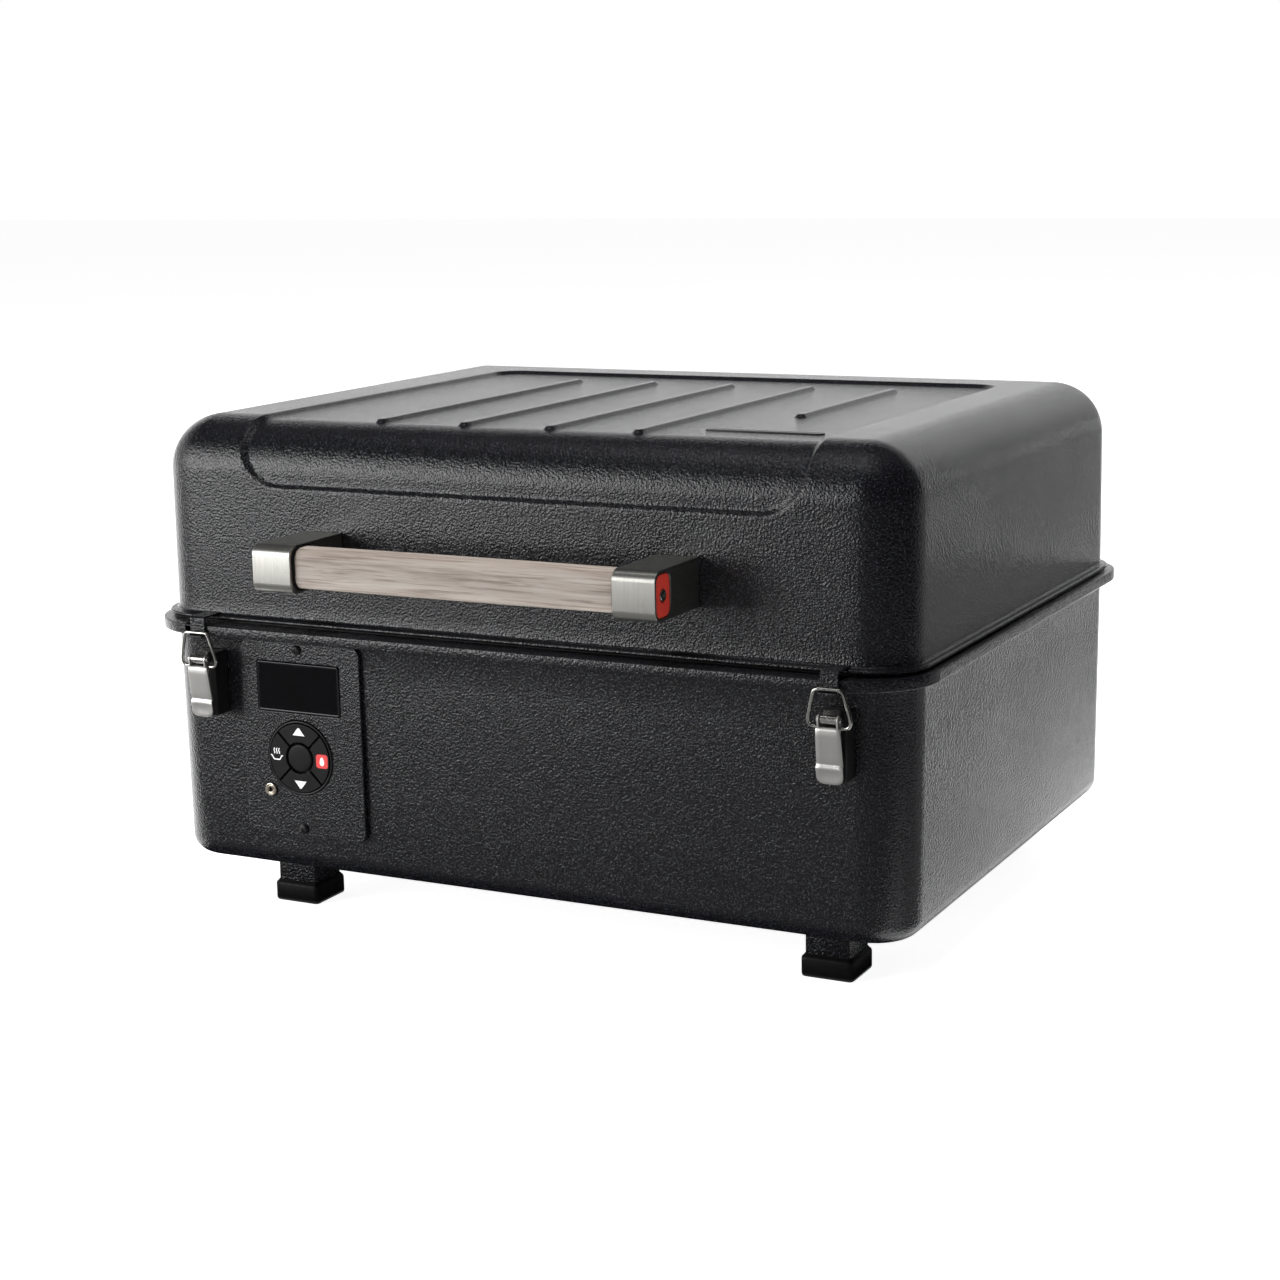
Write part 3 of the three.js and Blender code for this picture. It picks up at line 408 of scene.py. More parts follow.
def tube(path, r, n=14):
    """A round wire along a list of points, with closed ends."""
    pts = [Vector(p) for p in path]
    verts, faces = [], []
    side = None
    for i, p in enumerate(pts):
        d = (pts[min(i + 1, len(pts) - 1)] - pts[max(i - 1, 0)]).normalized()
        if side is None:
            side = d.cross(Vector((0, 1, 0))).normalized()
        side = (side - d * side.dot(d)).normalized()
        other = d.cross(side)
        verts.extend(
            tuple(p + r * (side * math.cos(2 * math.pi * k / n) + other * math.sin(2 * math.pi * k / n)))
            for k in range(n)
        )
    for i in range(len(pts) - 1):
        for k in range(n):
            a, b = i * n + k, i * n + (k + 1) % n
            faces.append((a, b, b + n, a + n))
    faces.append(tuple(range(n - 1, -1, -1)))
    faces.append(tuple(range((len(pts) - 1) * n, len(pts) * n)))
    return verts, faces


def smooth_path(points, per=8):
    """Catmull-Rom curve through the points."""
    pts = [Vector(p) for p in points]
    pts = [2 * pts[0] - pts[1]] + pts + [2 * pts[-1] - pts[-2]]
    out = []
    for i in range(1, len(pts) - 2):
        p0, p1, p2, p3 = pts[i - 1 : i + 3]
        for k in range(per):
            t = k / per
            out.append(
                0.5 * (
                    2 * p1 + (p2 - p0) * t + (2 * p0 - 5 * p1 + 4 * p2 - p3) * t * t
                    + (3 * p1 - p0 - 3 * p2 + p3) * t**3
                )
            )
    out.append(pts[-2])
    return out


def band(n, k, m):
    """Faces between rings k and m of n points each."""
    return [(k * n + j, k * n + (j + 1) % n, m * n + (j + 1) % n, m * n + j) for j in range(n)]


def smoothstep(t):
    t = min(1.0, max(0.0, t))
    return t * t * (3 - 2 * t)


def lines(lo, hi, zones, coarse):
    """Grid stations from lo to hi: fine inside each zone (a, b, step), coarse elsewhere."""
    marks = {round(lo, 3), round(hi, 3)}
    for a, b, step in zones:
        n = max(1, round((b - a) / step))
        marks.update(round(a + (b - a) * i / n, 3) for i in range(n + 1) if lo < a + (b - a) * i / n < hi)
    marks = sorted(marks)
    out = [marks[0]]
    for m in marks[1:]:
        if m - out[-1] < 0.35 and m != marks[-1]:
            continue
        n = max(1, math.ceil((m - out[-1]) / coarse))
        start = out[-1]
        out.extend(start + (m - start) * i / n for i in range(1, n + 1))
    return out


def loop(s, xs, ys, nc):
    """One closed ring of a rounded rectangle s = (x0, x1, y0, y1, r), anticlockwise from the front left."""
    x0, x1, y0, y1, r = s
    turn = [math.pi / 2 * i / nc for i in range(1, nc)]
    pts = [(x0 + r, y0)] + [(x, y0) for x in xs] + [(x1 - r, y0)]
    pts += [(x1 - r + r * math.sin(a), y0 + r - r * math.cos(a)) for a in turn]
    pts += [(x1, y0 + r)] + [(x1, y) for y in ys] + [(x1, y1 - r)]
    pts += [(x1 - r + r * math.cos(a), y1 - r + r * math.sin(a)) for a in turn]
    pts += [(x1 - r, y1)] + [(x, y1) for x in reversed(xs)] + [(x0 + r, y1)]
    pts += [(x0 + r - r * math.sin(a), y1 - r + r * math.cos(a)) for a in turn]
    pts += [(x0, y1 - r)] + [(x0, y) for y in reversed(ys)] + [(x0, y0 + r)]
    pts += [(x0 + r - r * math.cos(a), y0 + r - r * math.sin(a)) for a in turn]
    return pts


def skinned(stations, xs, ys, nc, move):
    """Rings from one flat cap to the other.

    A station is ((x0, x1, y0, y1, r), z, tag), and move(x, y, z, tag) places a point.
    """
    verts, faces = [], []
    for s, z, tag in stations:
        ring = loop(s, xs, ys, nc)
        count = len(ring)
        verts.extend(move(x, y, z, tag) for x, y in ring)
    for k in range(len(stations) - 1):
        for j in range(count):
            a, b = k * count + j, k * count + (j + 1) % count
            faces.append((a, b, b + count, a + count))
    for s, z, tag in (stations[0], stations[-1]):
        gx = [s[0] + s[4]] + list(xs) + [s[1] - s[4]]
        gy = [s[2] + s[4]] + list(ys) + [s[3] - s[4]]
        base = len(verts)
        verts.extend(move(x, y, z, tag) for y in gy for x in gx)
        w = len(gx)
        for j in range(len(gy) - 1):
            for i in range(w - 1):
                a = base + j * w + i
                faces.append((a, a + 1, a + w + 1, a + w))
    return verts, faces


def inset(s, d, r=None):
    return (s["x0"] + d, s["x1"] - d, s["y0"] + d, s["y1"] - d, s["r"] - d if r is None else r)


# -------- lid
EDGE_R = 34.4  # radius along the lid's top edge
LID_DRAFT = math.tan(math.radians(0.35))
SPRING = LID.z1 - EDGE_R
DOME_INSET = EDGE_R + LID_DRAFT * (SPRING - LID.z0)
FLAT_Y = WALL["y0"] + DOME_INSET
DEPTH = 2.2  # how far the panel is pressed in
RECESS = dict(x0=-189.0, x1=196.0, z0=286.4, y1=136.0, front=28.0, rear=18.0, soft=2.0)
RIBS = [(-104.5, -172.0), (-44.5, -172.0), (15.5, -172.0), (75.5, -172.0), (135.5, -68.0)]
RIB_END = 96.0
RIB_HALF, RIB_TOP = 4.6, 1.7  # half widths at the foot and at the crest
RIB_RISE = 2.15
LID_VENTS = dict(count=7, x0=-72, pitch=22, wide=12, z0=262, z1=268, r=2.9)


def recess_amount(x, v, v_end):
    """1 inside the pressed panel, 0 outside; v runs up the front, over the edge and along the top."""
    half_x = (RECESS["x1"] - RECESS["x0"]) / 2
    half_v = v_end / 2
    r = RECESS["front"] if v < half_v else RECESS["rear"]
    qx = abs(x - (RECESS["x0"] + RECESS["x1"]) / 2) - half_x + r
    qv = abs(v - half_v) - half_v + r
    d = min(max(qx, qv), 0.0) + math.hypot(max(qx, 0.0), max(qv, 0.0)) - r
    return smoothstep(0.5 - d / (2 * RECESS["soft"]))


def rib_amount(x, y):
    best = 0.0
    for rx, y0 in RIBS:
        if abs(x - rx) > RIB_HALF + 1:
            continue
        a, b = y0 + RIB_HALF, RIB_END - RIB_HALF
        d = math.hypot(x - rx, y - min(max(y, a), b))
        best = max(best, smoothstep((RIB_HALF - d) / (RIB_HALF - RIB_TOP)))
    return best


def lid_point(x, y, z, tag):
    """tag is (angle up the edge, on the dome); the panel and its ribs are pressed along the normal."""
    angle, pressed = tag
    if not pressed:
        return (x, y, z)
    v_spring = SPRING - RECESS["z0"]
    arc = EDGE_R * math.pi / 2
    v_end = v_spring + arc + RECESS["y1"] - FLAT_Y
    if y <= FLAT_Y + 1e-6:
        v = z - RECESS["z0"] if angle <= 0 else v_spring + EDGE_R * angle
        push = DEPTH * recess_amount(x, v, v_end)
        if angle > 1.0:
            push -= RIB_RISE * rib_amount(x, FLAT_Y - EDGE_R * (math.pi / 2 - angle))
        return (x, y + push * math.cos(angle), z - push * math.sin(angle))
    if angle >= math.pi / 2 - 1e-6:
        v = v_spring + arc + y - FLAT_Y
        return (x, y, z - DEPTH * recess_amount(x, v, v_end) + RIB_RISE * rib_amount(x, y))
    return (x, y, z)


def lid_shell():
    xz = [(RECESS["x0"] - 3, RECESS["x0"] + 30, 1.3), (RECESS["x1"] - 30, RECESS["x1"] + 3, 1.3)]
    xz += [(rx - 5, rx + 5, 0.72) for rx, _ in RIBS]
    xs = lines(WALL["x0"] + 40, WALL["x1"] - 40, xz, 13)
    yz = [
        (-167, -164, 0.9), (-69, -60, 0.9), (RIB_END - 6, RIB_END + 1.5, 0.9),
        (RECESS["y1"] - 19, RECESS["y1"] + 3, 1.3)
    ]
    ys = lines(WALL["y0"] + 40, WALL["y1"] - 40, yz, 13)

    def dome(t, n):
        edge = EDGE_R - t
        out = []
        for i in range(n + 1):
            a = math.pi / 2 * (1 - i / n)
            d = t + LID_DRAFT * (SPRING - LID.z0) + edge * (1 - math.cos(a))
            r = WALL["r"] * (1 - (d - t) / (DOME_INSET - t)) * (1 - t / WALL["r"] * (d - t > 0))
            out.append((inset(WALL, d, max(r, 0.0)), SPRING + edge * math.sin(a), (a, True)))
        return out

    def grown(q, z):
        s = (
            WALL["x0"] - 4 * q, WALL["x1"] + 4 * q, WALL["y0"] - 5.5 * q, WALL["y1"] + 4.3 * q,
            WALL["r"] + 2 * q
        )
        return (s, z, (0.0, False))

    top = LID.z0 + 2.6
    outer = dome(0.0, 44)
    for z in [290.7, 288.8, 287.9, 287.1, 286.4, 285.7, 284.9, 284.0, 282.5, 270, 250, 230, 212, top + 2.2]:
        d = LID_DRAFT * (z - LID.z0)
        outer.append((inset(WALL, d), z, (0.0, True)))
    outer += [
        grown(0.4 * (1 - math.cos(a)), top + 2.2 * (1 - math.sin(a)))
        for a in (math.pi / 2 * i / 5 for i in range(1, 6))
    ]
    outer += [
        grown(0.76 + 0.24 * math.sin(a), top - 1.3 + 1.3 * math.cos(a))
        for a in (math.pi * i / 8 for i in range(9))
    ]
    inner = [
        (inset(WALL, SHEET + LID_DRAFT * (z - LID.z0)), z, (0.0, False)) for z in (LID.z0, 230, 262, 280)
    ]
    inner += list(reversed(dome(SHEET, 16)))
    verts, faces = skinned(outer + inner, xs, ys, 12, lid_point)
    ob = build("lid_cover", [(verts, faces)], weld=0.002)
    rear = WALL["y1"]
    vents = []
    for i in range(LID_VENTS["count"]):
        x = LID_VENTS["x0"] + LID_VENTS["pitch"] * i
        outline = rounded(x, x + LID_VENTS["wide"], LID_VENTS["z0"], LID_VENTS["z1"], LID_VENTS["r"], 6)
        vents.append(build("cut", [prism(outline, "y", rear - 9, rear + 5)]))
    carve(ob, *vents)
    return dress(ob, COAT, "lid", ["lid_shell"], angle=40)


lid_shell()
bar = prism(rounded(108, 184, -146, -138.5, 3.6, 8), "z", LID.z1 - DEPTH - 0.3, LID.z1 - DEPTH + 0.8)
dress(build("lid_blank_badge", [bar]), PAINT, "lid", bevel=0.35)

# -------- lower shell
BODY_BOTTOM = RIM.z0
BODY_EDGE = 12.3  # radius along the bottom edge
BODY_DRAFT = math.tan(math.radians(0.45))
PANEL_HOLE = (-185, -112, 72, 177, 3)  # x0, x1, z0, z1 and corner radius, behind the control panel
INLET_HOLE = (-212.5, -153.5, 79.5, 102.5, 1.5)  # in the rear wall
AIR_SLOTS = dict(count=6, x0=-128, pitch=9, wide=4.5, z0=62, z1=98, r=2.2)  # in the rear wall
FLOOR_SLOTS = dict(count=5, x0=-140, pitch=10, wide=5, y0=80, y1=130, r=2.4)


def lower_shell():
    xs = lines(WALL["x0"] + 33, WALL["x1"] - 33, [], 24)
    ys = lines(WALL["y0"] + 33, WALL["y1"] - 33, [], 24)
    top = RIM.z1

    def tub(t, n):
        edge = BODY_EDGE - t
        out = []
        for i in range(n + 1):
            a = math.pi / 2 * i / n
            d = t + BODY_DRAFT * (top - BODY_BOTTOM - BODY_EDGE) + edge * (1 - math.sin(a))
            out.append((inset(WALL, d), BODY_BOTTOM + t + edge * (1 - math.cos(a)), None))
        return out

    def grown(q, z):
        s = (
            WALL["x0"] - 8.5 * q, WALL["x1"] + 8.5 * q, WALL["y0"] - 17.5 * q, WALL["y1"] + 20.3 * q,
            WALL["r"] + 18 * q
        )
        return (s, z, None)

    outer = tub(0.0, 10)
    for z in (90, 130, 165):
        outer.append((inset(WALL, BODY_DRAFT * (top - z)), z, None))
    under = top - 7
    outer.append((inset(WALL, BODY_DRAFT * 10), under - 3, None))
    outer += [
        grown(0.17 * (1 - math.cos(a)), under - 3 * (1 - math.sin(a)))
        for a in (math.pi / 2 * i / 4 for i in range(1, 5))
    ]
    outer += [
        grown(0.94 + 0.06 * math.sin(a), under + 1 - math.cos(a))
        for a in (math.pi / 2 * i / 3 for i in range(4))
    ]
    outer += [
        grown(0.94 + 0.06 * math.cos(a), top - 1 + math.sin(a))
        for a in (math.pi / 2 * i / 3 for i in range(4))
    ]
    inner = [(inset(WALL, SHEET - 0.6), top, None), (inset(WALL, SHEET), top - 0.6, None)]
    for z in (165, 130, 90):
        inner.append((inset(WALL, SHEET + BODY_DRAFT * (top - z)), z, None))
    inner += list(reversed(tub(SHEET, 6)))
    verts, faces = skinned(outer + inner, xs, ys, 14, lambda x, y, z, tag: (x, y, z))
    ob = build("grill_tub", [(verts, faces)], weld=0.002)
    y0, y1 = WALL["y0"], WALL["y1"]
    cuts = [build("cut", [prism(rounded(*PANEL_HOLE), "y", y0 - 5, y0 + 8)])]
    cuts.append(build("cut", [prism(rounded(*INLET_HOLE), "y", y1 - 8, y1 + 5)]))
    for i in range(AIR_SLOTS["count"]):
        x = AIR_SLOTS["x0"] + AIR_SLOTS["pitch"] * i
        outline = rounded(x, x + AIR_SLOTS["wide"], AIR_SLOTS["z0"], AIR_SLOTS["z1"], AIR_SLOTS["r"], 5)
        cuts.append(build("cut", [prism(outline, "y", y1 - 8, y1 + 5)]))
    for i in range(FLOOR_SLOTS["count"]):
        x = FLOOR_SLOTS["x0"] + FLOOR_SLOTS["pitch"] * i
        outline = rounded(
            x, x + FLOOR_SLOTS["wide"], FLOOR_SLOTS["y0"], FLOOR_SLOTS["y1"], FLOOR_SLOTS["r"], 5
        )
        cuts.append(build("cut", [prism(outline, "z", BODY_BOTTOM - 2, BODY_BOTTOM + 5)]))
    carve(ob, *cuts)
    return dress(ob, COAT, "body", ["lower_shell"], angle=40)


lower_shell()

# -------- feet
for end in ("front", "rear"):
    for side in ("left", "right"):
        leg, boot = Box(f"leg_{end}_{side}"), Box(f"foot_boot_{end}_{side}")
        shape = prism(rounded(leg.x0, leg.x1, leg.y0, leg.y1, 1.6, 4), "z", leg.z0, leg.z1)
        dress(
            build(f"foot_tube_{end}_{side}", [shape]), COAT, "body", [f"leg_{end}_{side}"],
            bevel=0.3
        )
        rings, faces = [], []
        for z, d in (
            (0.0, 1.4), (0.5, 0.5), (1.6, 0.0), (boot.z1 - 1.8, 0.0), (boot.z1 - 0.6, 0.35), (boot.z1, 1.1)
        ):
            ring = rounded(boot.x0 + d, boot.x1 - d, boot.y0 + d, boot.y1 - d, 3.4 - d, 6)
            rings.append([(x, y, boot.z0 + z) for x, y in ring])
        hole = rounded(leg.x0 - 0.3, leg.x1 + 0.3, leg.y0 - 0.3, leg.y1 + 0.3, 1.8, 6)
        rings.append([(x, y, boot.z1) for x, y in hole])
        rings.append([(x, y, leg.z0 - 0.3) for x, y in hole])
        n = len(rings[0])
        for k in range(len(rings) - 1):
            faces += band(n, k, k + 1)
        faces.append(tuple(range(n - 1, -1, -1)))
        faces.append(tuple(range((len(rings) - 1) * n, len(rings) * n)))
        shape = ([p for ring in rings for p in ring], faces)
        dress(
            build(f"foot_cap_{end}_{side}", [shape]), RUBBER, "body", [f"foot_boot_{end}_{side}"],
            angle=50
        )

# -------- control panel
panel = Box("control_panel")
display = Box("display_window")
ring_box = Box("keypad_ring")
jack = Box("probe_jack")
KX, KZ = ring_box.x, ring_box.z

THROUGH_PANEL = (-212, -198)  # y range of a cut through the plate


def panel_cut(outline):
    return build("cut", [prism(outline, "y", *THROUGH_PANEL)])


outline = rounded(panel.x0, panel.x1, panel.z0, panel.z1, 6, 8)
plate = build("panel_plate", [prism(outline, "y", panel.y0, panel.y1)])
hole = rounded(display.x0 - 0.3, display.x1 + 0.3, display.z0 - 0.3, display.z1 + 0.3, 1.2, 4)
carve(
    plate,
    panel_cut(hole),
    panel_cut(circle(KX, KZ, ring_box.x1 - KX + 0.3, 72)),
    panel_cut(circle(jack.x, jack.z, jack.x1 - jack.x + 0.3, 40)),
)
dress(plate, COAT, "body", ["control_panel"], bevel=0.55, segments=3)


def framed(x0, x1, z0, z1, wide, front, back):
    """A rectangular frame with a rounded outer edge, as one closed band."""
    rings = []
    for d, y, r in (
        (0, back, 1.4), (0, front + 0.35, 1.4), (0.12, front + 0.1, 1.3), (0.4, front, 1.1),
        (wide - 0.3, front, 0.7), (wide, front + 0.3, 0.5), (wide, back, 0.5)
    ):
        rings.append([(x, y, z) for x, z in rounded(x0 + d, x1 - d, z0 + d, z1 - d, r, 5)])
    n = len(rings[0])
    faces = []
    for k in range(len(rings)):
        faces += band(n, k, (k + 1) % len(rings))
    return [p for ring in rings for p in ring], faces


shape = framed(display.x0, display.x1, display.z0, display.z1, 1.5, display.y0 - 0.25, display.y1)
dress(build("display_frame", [shape]), BEZEL, "body", ["display_window"], angle=50)


def crowned(x0, x1, z0, z1, front, back, rise, nx=24, nz=14):
    """A plate whose front face bows out a little."""
    verts, faces = [], []
    for j in range(nz + 1):
        for i in range(nx + 1):
            u, w = 2 * i / nx - 1, 2 * j / nz - 1
            bow = rise * (1 - u * u) * (1 - w * w) ** 0.5 if abs(w) < 1 else 0
            verts.append((x0 + (x1 - x0) * i / nx, front - bow, z0 + (z1 - z0) * j / nz))
    w = nx + 1
    front_count = len(verts)
    verts += [(x, back, z) for x, _, z in verts]
    for j in range(nz):
        for i in range(nx):
            a = j * w + i
            faces.append((a, a + 1, a + w + 1, a + w))
            faces.append(tuple(front_count + k for k in (a, a + w, a + w + 1, a + 1)))
    edge = list(range(w)) + [j * w + nx for j in range(1, nz + 1)]
    edge += [nz * w + i for i in range(nx - 1, -1, -1)] + [j * w for j in range(nz - 1, 0, -1)]
    faces += [(a, b, b + front_count, a + front_count) for a, b in zip(edge, edge[1:] + edge[:1])]
    return verts, faces


shape = crowned(
    display.x0 + 1.55, display.x1 - 1.55, display.z0 + 1.55, display.z1 - 1.55, display.y0 + 0.2,
    display.y1, 0.35
)
dress(build("display_glass", [shape]), GLASS, "body", angle=50)

R = ring_box.x1 - KX
front = ring_box.y0
cup = [
    (0, -201.5), (R - 1.3, -201.5), (R - 1.3, front + 0.3), (R - 1.05, front + 0.05),
    (R - 0.65, front - 0.05), (R - 0.2, front + 0.15), (R, front + 0.55), (R, ring_box.y1), (0, ring_box.y1)
]
dress(
    build("keypad_bezel", [turned(cup, "y", (KX, KZ), 96)]), MOULDED, "body", ["keypad_ring"],
    angle=40
)

KEY_FRONT = Box("button_up").y0
KEY_BACK = Box("button_up").y1
KEY_R = Box("button_up").z1 - KZ
CENTRE_R = Box("button_centre").x1 - KX
GAP_R = 1.4


def sector(angle):
    """Outline of one curved key, parted from its neighbours by straight diagonal gaps."""
    points = []
    for r, order in ((KEY_R, 1), (CENTRE_R + GAP_R, -1)):
        half = math.pi / 4 - math.asin(0.62 / r)
        n = 20 if order > 0 else 10
        for i in range(n + 1):
            t = angle + order * (-half + 2 * half * i / n)
            points.append((KX + r * math.cos(t), KZ + r * math.sin(t)))
    return points


for key, degrees in (("right", 0), ("up", 90), ("left", 180), ("down", 270)):
    shape = prism(sector(math.radians(degrees)), "y", KEY_FRONT, KEY_BACK)
    dress(
        build(f"key_{key}", [shape]), KEYS, f"key_{key}", [f"button_{key}"], bevel=0.45,
        segments=3, angle=50
    )
shape = turned(
    [
        (0, KEY_FRONT - 0.12), (CENTRE_R * 0.5, KEY_FRONT - 0.09), (CENTRE_R - 1.2, KEY_FRONT),
        (CENTRE_R - 0.4, KEY_FRONT + 0.12), (CENTRE_R, KEY_FRONT + 0.55), (CENTRE_R, KEY_BACK),
        (0, KEY_BACK)
    ],
    "y", (KX, KZ), 64
)
dress(build("key_centre", [shape]), KEYS, "key_centre", ["button_centre"], angle=50)


def print_on(name, outlines, body, mat, lift=0.0):
    parts = [
        prism([(KX + x, KZ + z) for x, z in o], "y", KEY_FRONT - 0.06 - lift, KEY_FRONT + 0.1)
        for o in outlines
    ]
    dress(build(name, parts), mat, body, angle=40)


def stroke(points, half):
    """A line of even width round a polyline, as one outline."""
    left, right = [], []
    for i, p in enumerate(points):
        a, b = points[max(i - 1, 0)], points[min(i + 1, len(points) - 1)]
        d = Vector((b[0] - a[0], b[1] - a[1])).normalized()
        left.append((p[0] - d.y * half, p[1] + d.x * half))
        right.append((p[0] + d.y * half, p[1] - d.x * half))
    return left + right[::-1]


UP = [(-4.5, 14.9), (4.5, 14.9), (0.7, 19.6), (0, 20.0), (-0.7, 19.6)]
print_on("icon_up", [UP], "key_up", WHITE_PRINT)
print_on("icon_down", [[(x, -z) for x, z in reversed(UP)]], "key_down", WHITE_PRINT)
dish = stroke(
    [
        (-22.0, 0.6), (-21.0, 0.3), (-20.0, -1.6), (-19.2, -2.1), (-15.6, -2.1), (-14.8, -1.6),
        (-13.8, 0.3), (-12.8, 0.6)
    ],
    0.38
)
steam = [
    stroke([(x + 0.35 * math.sin(k * 1.25), 1.6 + 0.62 * k) for k in range(7)], 0.32)
    for x in (-19.2, -17.4, -15.6)
]
print_on("icon_warm", [dish] + steam, "key_left", WHITE_PRINT)
print_on(
    "icon_start_field", [rounded(12.6, 21.4, -4.9, 4.1, 1.9, 6)], "key_right", RED_PRINT
)
flame = [
    (
        17.0 + 2.0 * math.sin(t) * (0.62 + 0.38 * math.cos(t / 2) ** 2),
        -0.7 - 2.6 * math.cos(t) * (1.0 if math.cos(t) > 0 else 1.15)
    )
    for t in (2 * math.pi * i / 28 for i in range(28))
]
print_on("icon_start", [flame], "key_right", WHITE_PRINT, 0.05)

JR = jack.x1 - jack.x
profile = [
    (0, -199.2), (1.6, -199.2), (1.6, jack.y0 + 0.25), (1.9, jack.y0), (2.35, jack.y0),
    (2.55, jack.y0 + 0.5), (2.9, jack.y0 + 0.55), (3.1, jack.y0 + 0.1), (3.6, jack.y0),
    (4.05, jack.y0 + 0.2), (JR, jack.y0 + 0.7), (JR, jack.y1), (0, jack.y1)
]
dress(
    build("jack_socket", [turned(profile, "y", (jack.x, jack.z), 48)]), JACK_RING, "body", ["probe_jack"],
    angle=50
)
core = turned([(0, -202.0), (1.55, -202.0), (1.55, -199.3), (0, -199.3)], "y", (jack.x, jack.z), 32)
dress(build("jack_core", [core]), MOULDED, "body")

for where in ("top", "bottom"):
    s = Box(f"panel_screw_{where}")
    r, base, tip = s.x1 - s.x, s.y1, s.y0
    profile = [(0, base), (r, base), (r, base - 0.5)]
    profile += [
        (r * math.cos(a), base - 0.5 - (base - 0.5 - tip) * math.sin(a))
        for a in (math.pi / 2 * i / 8 for i in range(1, 8))
    ]
    profile.append((0, tip))
    head = build(f"panel_screw_head_{where}", [turned(profile, "y", (s.x, s.z), 40)])
    cross = []
    for a, b in ((1.75, 0.42), (0.42, 1.75)):
        arm = rounded(s.x - a, s.x + a, s.z - b, s.z + b, 0.15, 2)
        cross.append(build("cut", [prism(arm, "y", tip - 1, tip + 1.1)]))
    carve(head, *cross)
    dress(head, PAINT, "body", [f"panel_screw_{where}"], bevel=0.08, angle=40)

# -------- handle
for side, out in (("left", -1), ("right", 1)):
    b = Box(f"handle_bracket_{side}")
    cap = Box(f"handle_end_cap_{side}")
    face = b.x0 if out < 0 else b.x1
    outline = rounded(b.y0, b.y1, b.z0, b.z1, (6.5, 0, 0, 6.5), 14)
    block = build(f"handle_post_{side}", [prism(outline, "x", b.x0, b.x1)])
    pocket = prism(
        rounded(cap.y0 - 0.3, cap.y1 + 0.3, cap.z0 - 0.3, cap.z1 + 0.3, 5.5, 10), "x", face + out,
        face - out * 3
    )
    carve(block, build("cut", [pocket]))
    dress(
        block, NICKEL, "lid", [f"handle_bracket_{side}"], bevel=0.45, segments=3, angle=40
    )
    x_out, x_in = face - out * 0.35, face - out * 2.7
    inlay = build(
        f"handle_inlay_{side}", [prism(rounded(cap.y0, cap.y1, cap.z0, cap.z1, 5.2, 10), "x", x_out, x_in)]
    )
    carve(inlay, build("cut", [prism(circle(cap.y, cap.z, 3.8, 40), "x", face + out * 2, face - out * 5)]))
    dress(inlay, RED, "lid", [f"handle_end_cap_{side}"], bevel=0.6, segments=3, angle=40)
    s = Box(f"handle_screw_{side}")
    head = [
        (0, face - out * 2.7), (3.4, face - out * 2.7), (3.4, face - out * 0.15), (3.2, face + out * 0.1),
        (2.4, face + out * 0.2), (0, face + out * 0.2)
    ]
    screw = build(f"handle_hex_screw_{side}", [turned(head, "x", (s.y, s.z), 40)])
    carve(screw, build("cut", [prism(circle(s.y, s.z, 1.95, 6), "x", face + out * 2, face - out * 1.4)]))
    dress(screw, SHINE, "lid", [f"handle_screw_{side}"], bevel=0.12, angle=40)

grip = Box("handle_grip")
outline = rounded(grip.y0, grip.y1, grip.z0, grip.z1, 7, 12)
cy, cz = grip.y, grip.z
stations = [(grip.x0, 0.93), (grip.x0 + 0.5, 0.972), (grip.x0 + 1.6, 0.99)]
stations += [
    (grip.x0 + 4 + (grip.x1 - grip.x0 - 8) * i / 24, 0.99 + 0.01 * math.sin(math.pi * i / 24))
    for i in range(25)
]
stations += [(grip.x1 - 1.6, 0.99), (grip.x1 - 0.5, 0.972), (grip.x1, 0.93)]
n = len(outline)
verts = [(x, cy + (y - cy) * k, cz + (z - cz) * k) for x, k in stations for y, z in outline]
faces = [face for k in range(len(stations) - 1) for face in band(n, k, k + 1)]
faces += [tuple(range(n - 1, -1, -1)), tuple(range((len(stations) - 1) * n, len(stations) * n))]
dress(build("wood_grip", [(verts, faces)]), WOOD, "lid", ["handle_grip"], angle=60)
for side, x, out in (("left", grip.x0, 1), ("right", grip.x1, -1)):
    rings = []
    for grow, dx in ((0.15, -0.25), (0.15, 0.7), (0.5, 1.0), (0.9, 1.0), (1.25, 0.7), (1.3, -0.25)):
        outline = rounded(grip.y0 - grow, grip.y1 + grow, grip.z0 - grow, grip.z1 + grow, 7 + grow, 12)
        rings.append([(x + out * dx, y, z) for y, z in outline])
    n = len(rings[0])
    faces = []
    for k in range(len(rings)):
        faces += band(n, k, (k + 1) % len(rings))
    dress(
        build(f"grip_collar_{side}", [([p for ring in rings for p in ring], faces)]), RUBBER, "lid",
        angle=50
    )

